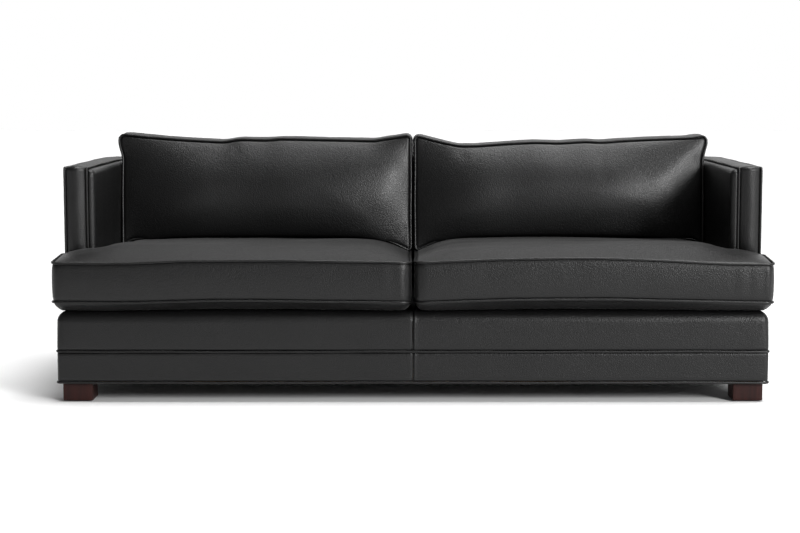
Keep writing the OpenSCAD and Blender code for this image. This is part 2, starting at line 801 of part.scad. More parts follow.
// Back cushion, drawn on the right. Its outline lies in X and Z, and it leans back
back_gap = 8;          // half of the gap between the back cushions at their tops, between outlines
back_gap_low = 4;      // how much further apart they stand at the seat
back_x0 = back_gap;
back_x1 = pad_in + back_spread;
back_mid = [(back_x0 + back_x1) / 2, back_z + back_h / 2];
back_steep = 2.6;      // how steeply the crown rises from the welts
function back_outline(e, r, arc_n, side_n) = soft_outline(
    [[back_x0 + back_gap_low + e, back_z + e], [back_x1 - back_squeeze - welt_r - e, back_z + e],
     [back_x1 - e, back_z + back_h - e], [back_x0 + e, back_z + back_h - e]],
    r, arc_n, side_n, [0, back_draw, back_dip, back_draw]);
function back_depth(p, t, face, e) =
    let (bulge = 1 - pow(min(t, 1), back_steep),
         plane = back_y + (p[1] - back_z) * tan(back_lean))
    face < 0 ? plane + back_boxing - e + back_rear_crown * bulge
    : face > 0 ? plane + e - back_crown * bulge
    : plane + back_boxing / 2;

module back_form(e, rings, arc_n, side_n) {
    outline = back_outline(e, back_corner_r, arc_n, side_n);
    n = len(outline);
    points = concat(
        [for (ring = rings, p = outline)
            let (q = back_mid + (p - back_mid) * ring[0]) [q[0], back_depth(q, ring[0], ring[1], e), q[1]]],
        [[back_mid[0], back_depth(back_mid, 0, -1, e), back_mid[1]],
         [back_mid[0], back_depth(back_mid, 0, 1, e), back_mid[1]]]);
    polyhedron(points, stack_faces(len(rings), n));
}

back_sides = [8, 5, 9, 5];
back_plain_sides = [5, 3, 6, 3];
module back_core(side) {
    color(foam_yellow) on_side(side) back_form(cover_t, plain_rings, plain_arc, back_plain_sides);
}
module back_cover(side) {
    color(black_leather) on_side(side) difference() {
        back_form(0, fine_rings, fine_arc, back_sides);
        back_form(cover_t, plain_rings, plain_arc, back_plain_sides);
    }
}

module back_welts(side) {
    outline = back_outline(0, back_corner_r, fine_arc, back_sides);
    count = len(outline) - 1;
    out = [for (i = [0 : count]) let (d = outward_at(outline, i)) [d[0], 0, d[1]]];
    color(welt_leather) on_side(side) for (face = [-1, 1])
        welt_loop([for (p = outline) [p[0], back_depth(p, 1, face, 0), p[1]]], out, [0, -1, 0]);
}

foot(-1, false);  // foot_front_left
foot(1, false);  // foot_front_right
foot(-1, true);  // foot_rear_left
foot(1, true);  // foot_rear_right
foot_glides();
foot_bolts();
front_rail();
back_rail();
side_rail(-1);  // side_rail_left
side_rail(1);  // side_rail_right
cross_rails();
corner_blocks();
arm_posts();
arm_top_rails();
back_posts();
back_top_rail();
frame_screws();
seat_springs();
spring_clips();
back_webbing();
deck_pad();
front_edge_roll();
dust_cover();
dust_cover_staples();
base_cover_front(-1);  // base_cover_front_left
base_cover_front(1);  // base_cover_front_right
base_cover_side(-1);  // base_cover_side_left
base_cover_side(1);  // base_cover_side_right
base_cover_back();
base_mid_welt();
base_bottom_welt();
arm_front_panel(-1);  // arm_front_panel_left
arm_front_panel(1);  // arm_front_panel_right
outside_panel(-1);  // outside_panel_left
outside_panel(1);  // outside_panel_right
outside_back_panel();
arm_top_band(-1);  // arm_top_band_left
arm_top_band(1);  // arm_top_band_right
back_top_band();
arm_inner_cover(-1);  // arm_inner_cover_left
arm_inner_cover(1);  // arm_inner_cover_right
arm_foam(-1);  // arm_foam_left
arm_foam(1);  // arm_foam_right
inside_back_cover();
inside_back_foam();
frame_outer_welt();
frame_inner_welt();
seat_cover(-1);  // seat_cover_left
seat_cover(1);  // seat_cover_right
seat_core(-1);  // seat_core_left
seat_core(1);  // seat_core_right
seat_welts(-1);  // seat_welts_left
seat_welts(1);  // seat_welts_right
back_cover(-1);  // back_cover_left
back_cover(1);  // back_cover_right
back_core(-1);  // back_core_left
back_core(1);  // back_core_right
back_welts(-1);  // back_welts_left
back_welts(1);  // back_welts_right
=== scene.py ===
"""Two-seat leather sofa: its leather, cushions, welts, feet and light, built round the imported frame."""
import itertools
import math

import bpy
import numpy as np
from bpy.props import FloatProperty, FloatVectorProperty, PointerProperty
from mathutils.kdtree import KDTree
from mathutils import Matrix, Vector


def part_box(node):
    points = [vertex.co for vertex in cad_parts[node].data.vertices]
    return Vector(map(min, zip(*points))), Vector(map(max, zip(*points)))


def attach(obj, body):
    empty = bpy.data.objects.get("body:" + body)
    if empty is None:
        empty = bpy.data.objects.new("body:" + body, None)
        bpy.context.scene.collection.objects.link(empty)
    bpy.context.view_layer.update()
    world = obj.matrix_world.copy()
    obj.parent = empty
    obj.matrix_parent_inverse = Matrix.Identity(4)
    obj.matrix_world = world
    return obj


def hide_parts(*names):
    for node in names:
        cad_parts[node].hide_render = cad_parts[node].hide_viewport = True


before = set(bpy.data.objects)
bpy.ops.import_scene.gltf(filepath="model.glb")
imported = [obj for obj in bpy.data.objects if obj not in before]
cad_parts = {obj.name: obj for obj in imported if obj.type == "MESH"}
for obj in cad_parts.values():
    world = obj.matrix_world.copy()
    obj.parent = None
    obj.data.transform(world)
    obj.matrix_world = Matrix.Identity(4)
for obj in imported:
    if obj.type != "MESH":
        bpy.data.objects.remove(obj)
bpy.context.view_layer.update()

bl_info = {
    "name": "Leather sofa",
    "version": (1, 0, 0),
    "blender": (4, 5, 0),
    "location": "3D View > Sidebar > Sofa",
    "description": "Builds the leather, cushions, welts and feet of a two-seat sofa on its frame",
    "category": "Object",
}


# Places taken from the frame, in metres

def low(node):
    """Lowest corner of a frame node."""
    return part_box(node)[0]


def high(node):
    """Highest corner of a frame node."""
    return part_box(node)[1]


HALF_W = high("base_cover_front_right").x
FRONT_Y = low("base_cover_front_right").y
REAR_Y = high("base_cover_back").y
BASE_LOW = low("base_cover_front_right").z
DECK_Z = high("base_cover_front_right").z
ARM_Y = low("arm_front_panel_right").y
TOP_Z = high("arm_front_panel_right").z
CORNER_Y = high("arm_top_band_right").y
REAR_R = REAR_Y - CORNER_Y
CORNER_X = HALF_W - REAR_R
PAD_IN = low("arm_inner_cover_right").x
PAD_TOP = high("arm_inner_cover_right").z
WELT_IN = high("frame_inner_welt").x
MID_WELT_Z = (low("base_mid_welt").z + high("base_mid_welt").z) / 2
BOTTOM_WELT_Z = (low("base_bottom_welt").z + high("base_bottom_welt").z) / 2
BACK_SEAT_Z = low("back_cover_right").z

# Values of the drawing, in metres
FIT = 0.0002  # gap between panels that meet
BASE_CORNER = 0.014  # radius of the front corners of the base at its foot
HALF_GROOVE = 0.0042  # half of the groove in which the middle welt lies
WELT_CORNER = 0.038  # radius of the rear corners of the inner frame welt
STRIP_BEND = 0.009  # radius of the bend from the front of an arm to its top
WELT_BEND = 0.008  # the same bend in the welts beside it
PAD_REACH = 0.006  # how far an arm pad runs on into the back
DECK_REACH = 0.022  # how far the deck cloth runs on below the inside back
KNEE_RISE = 0.165  # height above the deck at which the inside back starts to lean
KNEE_TOP_Y = 0.396  # depth of the front of the inside back at its top
BACK_BOXING = 0.150  # width of the boxing of a back cushion
BACK_LEAN = math.tan(math.radians(10))  # lean of a back cushion, as run over rise
SEAT_LEVEL = 0.4305  # height round which the upper seams of the seats wave
UNDER_BACK_Y = 0.118  # depth from which a seat runs below the back cushions
FOOT_EDGE = 0.0026  # radius of the eased edges of a foot
BOXING_ROWS = 8  # rows of faces across the boxing of a cushion

# Distances of the lines that are drawn closer together towards an edge, in metres
EDGE_LINES = (0.003, 0.007, 0.012, 0.018, 0.026, 0.036)
PAD_LINES = (0.004, 0.009, 0.014, 0.020, 0.030)
STRIP_LINES = (0.0010, 0.0028, 0.006, 0.012)
PANEL_LINES = (0.0015, 0.004, 0.010, 0.020)

SIDES = {-1: "left", 1: "right"}


class SofaSizes(bpy.types.PropertyGroup):
    """Sizes of the leather and the padding."""

    welt: FloatProperty(name="Welt radius", description="Radius of every welt",
                        default=0.004, min=0.002, max=0.006, unit="LENGTH")
    leather: FloatProperty(name="Leather", description="Thickness of the leather",
                           default=0.003, min=0.001, max=0.004, unit="LENGTH")
    edge: FloatProperty(name="Base edge", description="Radius of the padded top edge of the base",
                        default=0.035, min=0.01, max=0.05, unit="LENGTH")
    seat_crown: FloatProperty(name="Seat crown", description="Rise of a seat above its upper welt",
                              default=0.027, min=0.005, max=0.05, unit="LENGTH")
    seat_belly: FloatProperty(name="Seat belly", description="Fall of a seat below the deck at its edge",
                              default=0.006, min=0.0, max=0.02, unit="LENGTH")
    back_crown: FloatProperty(name="Back crown", description="Swell of a back cushion in front",
                              default=0.068, min=0.005, max=0.08, unit="LENGTH")
    back_rear: FloatProperty(name="Rear crown", description="Swell of a back cushion behind",
                             default=0.016, min=0.002, max=0.03, unit="LENGTH")
    pad_edge: FloatProperty(name="Pad edge", description="Radius of the edges of the inner padding",
                            default=0.018, min=0.005, max=0.03, unit="LENGTH")
    wrinkle: FloatProperty(name="Wrinkles", description="Depth of the wrinkles in the leather",
                           default=1.0, min=0.0, max=3.0)


class SofaFinish(bpy.types.PropertyGroup):
    """Colours of the leather, the wood and the cloth, and the size of the grain."""

    leather: FloatVectorProperty(name="Leather", description="Main colour of the leather",
                                 subtype="COLOR", size=3, default=(0.0018, 0.0018, 0.0019))
    leather_pale: FloatVectorProperty(name="Worn leather", description="Leather where it is rubbed",
                                      subtype="COLOR", size=3, default=(0.0050, 0.0050, 0.0052))
    # Welts are kept at the darkest leather colour: painted shade for the dark lines along the seams
    welt: FloatVectorProperty(name="Welts", description="Colour of the welts",
                              subtype="COLOR", size=3, default=(0.0018, 0.0018, 0.0018))
    wood: FloatVectorProperty(name="Feet", description="Dark stain of the feet",
                              subtype="COLOR", size=3, default=(0.0225, 0.0054, 0.0041))
    timber: FloatVectorProperty(name="Timber", description="Bare timber of the frame",
                                subtype="COLOR", size=3, default=(0.58, 0.40, 0.22))
    cloth: FloatVectorProperty(name="Deck cloth", description="Cloth below the cushions",
                               subtype="COLOR", size=3, default=(0.022, 0.022, 0.024))
    grain: FloatProperty(name="Grain", description="Pebbles of the leather per metre",
                         default=310.0, min=100.0, max=900.0)


# Shader groups

def new_group(name, inputs, outputs):
    """An empty shader group with named inputs and outputs, and its two end nodes."""
    tree = bpy.data.node_groups.new(name, "ShaderNodeTree")
    for label, kind, value in inputs:
        socket = tree.interface.new_socket(label, in_out="INPUT", socket_type=kind)
        socket.default_value = value
    for label, kind in outputs:
        tree.interface.new_socket(label, in_out="OUTPUT", socket_type=kind)
    return tree, tree.nodes.new("NodeGroupInput"), tree.nodes.new("NodeGroupOutput")


def add(tree, kind, values=None, links=None, **settings):
    """A node with its settings, its fixed input values and its incoming links."""
    node = tree.nodes.new("ShaderNode" + kind)
    for key, value in settings.items():
        setattr(node, key, value)
    for key, value in (values or {}).items():
        node.inputs[key].default_value = value
    for key, source in (links or {}).items():
        tree.links.new(source, node.inputs[key])
    return node


def math_node(tree, operation, a, b=None, clamp=False):
    """A Math node whose inputs are sockets or numbers."""
    node = tree.nodes.new("ShaderNodeMath")
    node.operation = operation
    node.use_clamp = clamp
    for slot, value in enumerate((a, b)):
        if value is None:
            continue
        if isinstance(value, (int, float)):
            node.inputs[slot].default_value = value
        else:
            tree.links.new(value, node.inputs[slot])
    return node.outputs[0]


def eased_ramp(tree, value, start, end, first=0.0, last=1.0):
    """A value eased from first to last while another goes from start to end."""
    node = add(tree, "MapRange", {"From Min": start, "From Max": end, "To Min": first, "To Max": last},
               {"Value": value}, interpolation_type="SMOOTHSTEP")
    return node.outputs[0]


FLOAT = "NodeSocketFloat"
VECTOR = "NodeSocketVector"
BROAD_SCALE = 0.42  # scale of the broad pebbles, as a share of the fine ones
BROAD_DEPTH = 0.4  # their height, as a share of the fine ones
PORE_SCALE = 14.0  # scale of the pores of wood, as a multiple of its lines


def pebble_grain():
    """Pebbled grain of leather: a height and a mask of the valleys between the pebbles."""
    tree, start, end = new_group("pebble_grain", [("Scale", FLOAT, 430.0), ("Warp", FLOAT, 0.0008)],
                                 [("Height", FLOAT), ("Valleys", FLOAT)])
    where = add(tree, "TexCoord").outputs["Object"]
    stir = add(tree, "TexNoise", {"Scale": 160.0, "Detail": 2.0}, {"Vector": where})
    centred = add(tree, "VectorMath", {1: (0.5, 0.5, 0.5)}, {0: stir.outputs["Color"]},
                  operation="SUBTRACT")
    push = add(tree, "VectorMath", None, {0: centred.outputs[0], "Scale": start.outputs["Warp"]},
               operation="SCALE")
    moved = add(tree, "VectorMath", None, {0: where, 1: push.outputs[0]}, operation="ADD").outputs[0]
    cells = add(tree, "TexVoronoi", {"Smoothness": 0.5},
                {"Vector": moved, "Scale": start.outputs["Scale"]}, feature="SMOOTH_F1")
    coarse = math_node(tree, "MULTIPLY", start.outputs["Scale"], BROAD_SCALE)
    broad = add(tree, "TexVoronoi", {"Smoothness": 0.7}, {"Vector": moved, "Scale": coarse},
                feature="SMOOTH_F1")
    valley = eased_ramp(tree, cells.outputs["Distance"], 0.25, 0.75)
    wide = math_node(tree, "MULTIPLY", broad.outputs["Distance"], BROAD_DEPTH)
    both = math_node(tree, "ADD", valley, wide)
    tree.links.new(math_node(tree, "SUBTRACT", 1.0, both), end.inputs["Height"])
    tree.links.new(valley, end.inputs["Valleys"])
    return tree


def soft_creases():
    """Fine creases that wander over leather or cloth, and where they are densest."""
    tree, start, end = new_group("soft_creases",
                                 [("Scale", FLOAT, 22.0), ("Stretch", VECTOR, (1.0, 1.0, 1.0))],
                                 [("Height", FLOAT), ("Mottle", FLOAT)])
    where = add(tree, "TexCoord").outputs["Object"]
    drawn = add(tree, "VectorMath", None, {0: where, 1: start.outputs["Stretch"]},
                operation="MULTIPLY").outputs[0]
    wander = add(tree, "TexNoise", {"Detail": 4.0, "Roughness": 0.55, "Distortion": 0.6},
                 {"Vector": drawn, "Scale": start.outputs["Scale"]})
    ridge = math_node(tree, "ABSOLUTE", math_node(tree, "SUBTRACT", wander.outputs["Fac"], 0.5))
    line = eased_ramp(tree, ridge, 0.0, 0.05)
    patch = add(tree, "TexNoise", {"Scale": 2.6, "Detail": 2.0}, {"Vector": where})
    dense = eased_ramp(tree, patch.outputs["Fac"], 0.42, 0.68)
    dip = math_node(tree, "MULTIPLY", math_node(tree, "SUBTRACT", line, 1.0), dense)
    swell = math_node(tree, "MULTIPLY", wander.outputs["Fac"], 0.8)
    tree.links.new(math_node(tree, "ADD", dip, swell), end.inputs["Height"])
    tree.links.new(patch.outputs["Fac"], end.inputs["Mottle"])
    return tree


def rubbed_edges():
    """Where the leather or the wood is rubbed: the outward edges, broken up by noise."""
    tree, start, end = new_group("rubbed_edges",
                                 [("Sharpness", FLOAT, 12.0), ("Break", FLOAT, 30.0)], [("Mask", FLOAT)])
    point = add(tree, "NewGeometry").outputs["Pointiness"]
    where = add(tree, "TexCoord").outputs["Object"]
    noise = add(tree, "TexNoise", {"Detail": 3.0}, {"Vector": where, "Scale": start.outputs["Break"]})
    convex = math_node(tree, "SUBTRACT", point, 0.5)
    edge = math_node(tree, "MULTIPLY", convex, start.outputs["Sharpness"], clamp=True)
    worn = math_node(tree, "MULTIPLY", edge, noise.outputs["Fac"], clamp=True)
    tree.links.new(worn, end.inputs["Mask"])
    return tree


def wood_figure():
    """Grain of wood along one axis: its lines and its fine pores."""
    tree, start, end = new_group("wood_figure",
                                 [("Stretch", VECTOR, (1.0, 1.0, 0.06)), ("Scale", FLOAT, 60.0)],
                                 [("Lines", FLOAT), ("Pores", FLOAT)])
    where = add(tree, "TexCoord").outputs["Object"]
    drawn = add(tree, "VectorMath", None, {0: where, 1: start.outputs["Stretch"]},
                operation="MULTIPLY").outputs[0]
    lines = add(tree, "TexNoise", {"Detail": 5.0, "Distortion": 1.2},
                {"Vector": drawn, "Scale": start.outputs["Scale"]})
    fine = math_node(tree, "MULTIPLY", start.outputs["Scale"], PORE_SCALE)
    pores = add(tree, "TexNoise", {"Detail": 2.0}, {"Vector": drawn, "Scale": fine})
    cut = add(tree, "MapRange", {"From Min": 0.52, "From Max": 0.70}, {"Value": pores.outputs["Fac"]})
    tree.links.new(lines.outputs["Fac"], end.inputs["Lines"])
    tree.links.new(cut.outputs[0], end.inputs["Pores"])
    return tree


def plain_weave():
    """Threads crossing in X and Y: the height of the weave and its open corners."""
    tree, start, end = new_group("plain_weave", [("Threads", FLOAT, 700.0)],
                                 [("Height", FLOAT), ("Open", FLOAT)])
    where = add(tree, "TexCoord").outputs["Object"]
    warp, weft = (add(tree, "TexWave", {"Distortion": 0.4, "Detail": 1.0},
                      {"Vector": where, "Scale": start.outputs["Threads"]}, bands_direction=axis)
                  for axis in ("X", "Y"))
    both = math_node(tree, "MAXIMUM", warp.outputs["Fac"], weft.outputs["Fac"])
    tree.links.new(both, end.inputs["Height"])
    tree.links.new(math_node(tree, "SUBTRACT", 1.0, both), end.inputs["Open"])
    return tree


# Groups and materials made so far
GROUPS = {}
MATERIALS = {}


def group(tree, maker, **values):
    """Places a shared group in a material, with that material's own values."""
    if maker not in GROUPS:
        GROUPS[maker] = maker()
    node = tree.nodes.new("ShaderNodeGroup")
    node.node_tree = GROUPS[maker]
    for key, value in values.items():
        node.inputs[key].default_value = value
    return node.outputs


def new_material(name, colour, roughness, **fixed):
    """A material with its shader, a plain colour for the viewport and its fixed shader values."""
    paint = bpy.data.materials.new(name)
    paint.use_nodes = True
    paint.diffuse_color = (*colour, 1.0)
    tree = paint.node_tree
    tree.nodes.clear()
    shader = add(tree, "BsdfPrincipled", {"Base Color": (*colour, 1.0), "Roughness": roughness, **fixed})
    add(tree, "OutputMaterial", None, {"Surface": shader.outputs[0]})
    return paint, tree, shader


def bump(tree, height, distance, strength, normal=None):
    """A Bump node over a height, on top of another normal where one is given."""
    node = add(tree, "Bump", {"Distance": distance, "Strength": strength}, {"Height": height})
    if normal is not None:
        tree.links.new(normal, node.inputs["Normal"])
    return node.outputs[0]


def between(tree, mask, first, second):
    """A colour between two colours or sockets, by a mask."""
    node = add(tree, "Mix", None, {"Factor": mask}, data_type="RGBA")
    for socket, value in ((6, first), (7, second)):
        if isinstance(value, tuple):
            node.inputs[socket].default_value = (*value, 1.0)
        else:
            tree.links.new(value, node.inputs[socket])
    return node.outputs[2]


def spread(tree, value, low_value, high_value):
    """A value of 0 to 1 spread between two others."""
    node = add(tree, "MapRange", {"To Min": low_value, "To Max": high_value}, {"Value": value})
    return node.outputs[0]


def shade(colour, factor):
    """A darker or a paler colour."""
    return tuple(min(1.0, factor * c) for c in colour)


def feed(tree, shader, colour, roughness, normal):
    """Links a colour, a roughness and a normal to a shader."""
    for label, source in (("Base Color", colour), ("Roughness", roughness), ("Normal", normal)):
        tree.links.new(source, shader.inputs[label])


def leather_material(name, main, pale, grain, crease, depth, roughness, sheen=0.0):
    """Semi-matte pebbled leather with fine creases and rubbed edges."""
    paint, tree, shader = new_material(name, main, roughness, **{
        "Specular IOR Level": 0.42, "Coat Weight": 0.04, "Coat Roughness": 0.30,
        "Sheen Weight": sheen, "Sheen Roughness": 0.35})
    pebbles = group(tree, pebble_grain, Scale=grain, Warp=0.0005)
    creases = group(tree, soft_creases, Scale=crease, Stretch=(1.0, 1.0, 1.0))
    rub = group(tree, rubbed_edges, Sharpness=9.0, Break=26.0)
    mottled = between(tree, spread(tree, creases["Mottle"], 0.0, 0.55), main, pale)
    worn = between(tree, rub["Mask"], mottled, pale)
    colour = between(tree, spread(tree, pebbles["Valleys"], 0.0, 0.45), worn, shade(main, 0.55))
    rough = math_node(tree, "ADD", spread(tree, pebbles["Valleys"], roughness - 0.05, roughness + 0.10),
                      spread(tree, creases["Mottle"], -0.05, 0.05))
    creased = bump(tree, creases["Height"], 0.0030, 0.08 * depth)
    feed(tree, shader, colour, rough, bump(tree, pebbles["Height"], 0.0008, 0.42 * depth, creased))
    return paint


def wood_material(name, base, stretch, roughness):
    """Wood with its figure, pores and rubbed edges."""
    paint, tree, shader = new_material(name, base, roughness, **{"Specular IOR Level": 0.24})
    figure = group(tree, wood_figure, Stretch=stretch, Scale=60.0)
    rub = group(tree, rubbed_edges, Sharpness=6.0, Break=60.0)
    dark, pale = shade(base, 0.45), shade(base, 1.7)
    lined = between(tree, spread(tree, figure["Lines"], -0.4, 1.4), dark, pale)
    edged = between(tree, rub["Mask"], lined, pale)
    colour = between(tree, spread(tree, figure["Pores"], 0.0, 0.5), edged, dark)
    rough = spread(tree, figure["Lines"], roughness - 0.06, roughness + 0.08)
    feed(tree, shader, colour, rough, bump(tree, figure["Lines"], 0.0006, 0.25))
    return paint


def cloth_material(name, base, threads, roughness):
    """Woven cloth with creases."""
    paint, tree, shader = new_material(name, base, roughness, **{"Specular IOR Level": 0.3})
    weave = group(tree, plain_weave, Threads=threads)
    creases = group(tree, soft_creases, Scale=9.0, Stretch=(1.0, 1.0, 1.0))
    colour = between(tree, weave["Open"], base, shade(base, 0.5))
    rough = spread(tree, creases["Mottle"], roughness - 0.08, roughness + 0.08)
    creased = bump(tree, creases["Height"], 0.004, 0.4)
    feed(tree, shader, colour, rough, bump(tree, weave["Height"], 0.0004, 0.6, creased))
    return paint


def steel_material(name, base, roughness):
    """Drawn steel with faint streaks."""
    paint, tree, shader = new_material(name, base, roughness, Metallic=1.0)
    streaks = group(tree, soft_creases, Scale=80.0, Stretch=(1.0, 8.0, 8.0))
    rub = group(tree, rubbed_edges, Sharpness=8.0, Break=90.0)
    streaked = between(tree, streaks["Mottle"], base, shade(base, 0.6))
    colour = between(tree, rub["Mask"], streaked, base)
    rough = spread(tree, streaks["Mottle"], roughness - 0.1, roughness + 0.15)
    feed(tree, shader, colour, rough, bump(tree, streaks["Height"], 0.0003, 0.2))
    return paint


def material(name):
    """One of the sofa's materials, made when it is first asked for."""
    if name in MATERIALS:
        return MATERIALS[name]
    finish = bpy.context.scene.sofa_finish
    grain = finish.grain
    main, pale, welt, wood, timber, cloth = (
        tuple(getattr(finish, key))
        for key in ("leather", "leather_pale", "welt", "wood", "timber", "cloth"))
    maker, *values = {
        "leather": (leather_material, "black_leather", main, pale, grain, 17.0, 1.0, 0.36),
        "seat_leather": (leather_material, "seat_leather", main, pale, grain, 11.0, 1.1, 0.38, 0.08),
        # Welts use the darkest leather colour as their pale colour too, so they get no paler mottle or
        # rubbed edges and read darker than the panels: this darker tone is painted shade for the dark
        # lines along the seams
        "welt": (leather_material, "welt_leather", welt, main, grain * 1.3, 60.0, 0.6, 0.34),
        "feet": (wood_material, "stained_wood", wood, (1.0, 1.0, 0.06), 0.45),
        "timber": (wood_material, "bare_timber", timber, (0.05, 1.0, 1.0), 0.62),
        "deck_cloth": (cloth_material, "deck_cloth", cloth, 320.0, 0.85),
        "webbing": (cloth_material, "jute_webbing", (0.23, 0.14, 0.07), 200.0, 0.9),
        "steel": (steel_material, "spring_steel", (0.55, 0.56, 0.58), 0.38),
        "glides": (steel_material, "glide_nickel", (0.62, 0.60, 0.56), 0.30),
    }[name]
    MATERIALS[name] = maker(*values)
    return MATERIALS[name]


# Mesh helpers

def new_piece(name, points, faces, finish, body="frame", nodes=()):
    """A smooth mesh piece that rides on a body, has a finish and stands for some frame nodes."""
    mesh = bpy.data.meshes.new(name)
    mesh.from_pydata([tuple(float(v) for v in p) for p in points], [], [tuple(f) for f in faces])
    mesh.validate()
    mesh.polygons.foreach_set("use_smooth", [True] * len(mesh.polygons))
    mesh.materials.append(material(finish))
    piece = bpy.data.objects.new(name, mesh)
    bpy.context.scene.collection.objects.link(piece)
    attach(piece, body)
    if nodes:
        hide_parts(*nodes)
    return piece


def turned_over(faces):
    """The same faces, seen from the other side."""
    return [tuple(reversed(f)) for f in faces]


def spaced(start, end, step, ends=EDGE_LINES):
    """Places from start to end, closer together towards both ends."""
    length = end - start
    near = [e for e in ends if e < 0.42 * length]
    if not near:
        return np.linspace(start, end, 3)
    edge = near[-1]
    count = max(1, round((length - 2 * edge) / step))
    middle = list(np.linspace(edge, length - edge, count + 1))
    return start + np.array([0.0, *near[:-1], *middle, *[length - e for e in near[-2::-1]], length])


def spaced_halves(start, end, step, ends=EDGE_LINES):
    """Places from start to end, closer together towards both ends and towards the middle of the sofa."""
    return np.unique(np.concatenate([spaced(start, 0, step, ends), spaced(0, end, step, ends)]))


def quarter(count):
    """Angles of a quarter turn, with both ends."""
    return np.linspace(0, math.pi / 2, count)


def run_along(path):
    """Distance along a path, at each of its points."""
    return np.cumsum(np.concatenate([[0], np.linalg.norm(np.diff(path, axis=0), axis=1)]))


def waves(seed, count, shortest, longest, size):
    """A smooth uneven surface of two coordinates: a sum of seeded waves, at most about size high."""
    pick = np.random.default_rng(seed)
    angle = pick.uniform(0, 2 * math.pi, count)
    length = pick.uniform(shortest, longest, count)
    phase = pick.uniform(0, 2 * math.pi, count)
    share = size / math.sqrt(count)

    def height(u, v):
        total = 0 * np.asarray(u, float)
        for a, l, p in zip(angle, length, phase):
            total = total + np.sin(2 * math.pi * (u * math.cos(a) + v * math.sin(a)) / l + p)
        return share * total
    return height


def smooth_line(places, values, blur=0.05):
    """A curve through measured places and values, with its corners eased."""
    table = np.arange(min(places) - 0.2, max(places) + 0.2, 0.004)
    raw = np.interp(table, places, values)
    width = max(3, int(blur / 0.004) | 1)
    window = np.hanning(width + 2)[1:-1]
    eased = np.convolve(np.pad(raw, width // 2, mode="edge"), window / window.sum(), mode="valid")
    return lambda x: np.interp(x, table, eased)


def smooth_step(t):
    """From 0 to 1 with level ends."""
    t = np.clip(t, 0, 1)
    return t * t * (3 - 2 * t)


def eased_round(values, width):
    """Values round a closed outline with their jumps eased."""
    window = np.hanning(width + 2)[1:-1]
    half = width // 2
    padded = np.concatenate([values[-half:], values, values[:half]])
    return np.convolve(padded, window / window.sum(), mode="valid")


def rise(distance, reach, power):
    """From 0 at an edge to 1 at a distance of reach from it."""
    return 1 - np.power(1 - np.clip(distance / reach, 0, 1), power)


def tube(path, radius, closed, sides=10, uneven=0.0, seed=1):
    """Points and faces of a welt that follows a path."""
    path = np.asarray(path, float)
    count = len(path)
    pick = np.random.default_rng(seed)
    if closed:
        ahead = np.roll(path, -1, 0) - np.roll(path, 1, 0)
    else:
        ahead = np.gradient(path, axis=0)
    ahead /= np.linalg.norm(ahead, axis=1)[:, None]
    across = np.cross(ahead[0], (0, 0, 1) if abs(ahead[0][2]) < 0.9 else (0, 1, 0))
    points = []
    for i in range(count):
        across = across - ahead[i] * np.dot(across, ahead[i])
        across /= np.linalg.norm(across)
        other = np.cross(ahead[i], across)
        size = radius * (1 + uneven * pick.uniform(-1, 1))
        for k in range(sides):
            a = 2 * math.pi * k / sides
            points.append(path[i] + size * (across * math.cos(a) + other * math.sin(a)))
    faces = []
    shift = 0
    if closed:
        first = np.array(points[:sides]) - path[0]
        back = path[0] + across * radius
        shift = int(np.argmin(np.linalg.norm(first + path[0] - back, axis=1)))
    for i in range(count if closed else count - 1):
        for k in range(sides):
            a, b = i * sides + k, i * sides + (k + 1) % sides
            if i == count - 1:
                c, d = (k + 1 + shift) % sides, (k + shift) % sides
            else:
                c, d = a + sides - k + (k + 1) % sides, a + sides
            faces.append((a, b, c, d))
    if not closed:
        faces.append(tuple(range(sides - 1, -1, -1)))
        faces.append(tuple((count - 1) * sides + k for k in range(sides)))
    return points, faces


def sheet_of(outer, inner):
    """Points and faces of a closed skin between an outer and an inner grid of points."""
    rows, columns = outer.shape[:2]
    points = np.concatenate([outer.reshape(-1, 3), inner.reshape(-1, 3)])
    half = rows * columns

    def at(i, j, layer):
        return layer * half + i * columns + j
    faces = []
    for i in range(rows - 1):
        for j in range(columns - 1):
            faces.append((at(i, j, 0), at(i, j + 1, 0), at(i + 1, j + 1, 0), at(i + 1, j, 0)))
            faces.append((at(i, j, 1), at(i + 1, j, 1), at(i + 1, j + 1, 1), at(i, j + 1, 1)))
    for i in range(rows - 1):
        faces.append((at(i, 0, 0), at(i + 1, 0, 0), at(i + 1, 0, 1), at(i, 0, 1)))
        faces.append((at(i + 1, columns - 1, 0), at(i, columns - 1, 0),
                      at(i, columns - 1, 1), at(i + 1, columns - 1, 1)))
    for j in range(columns - 1):
        faces.append((at(0, j + 1, 0), at(0, j, 0), at(0, j, 1), at(0, j + 1, 1)))
        faces.append((at(rows - 1, j, 0), at(rows - 1, j + 1, 0),
                      at(rows - 1, j + 1, 1), at(rows - 1, j, 1)))
    return points, faces


def mirrored(points, faces, side):
    """A piece drawn on the right, for the side -1 (left) or 1 (right)."""
    points = np.array(points, float)
    if side > 0:
        return points, faces
    points[:, 0] *= -1
    return points, turned_over(faces)


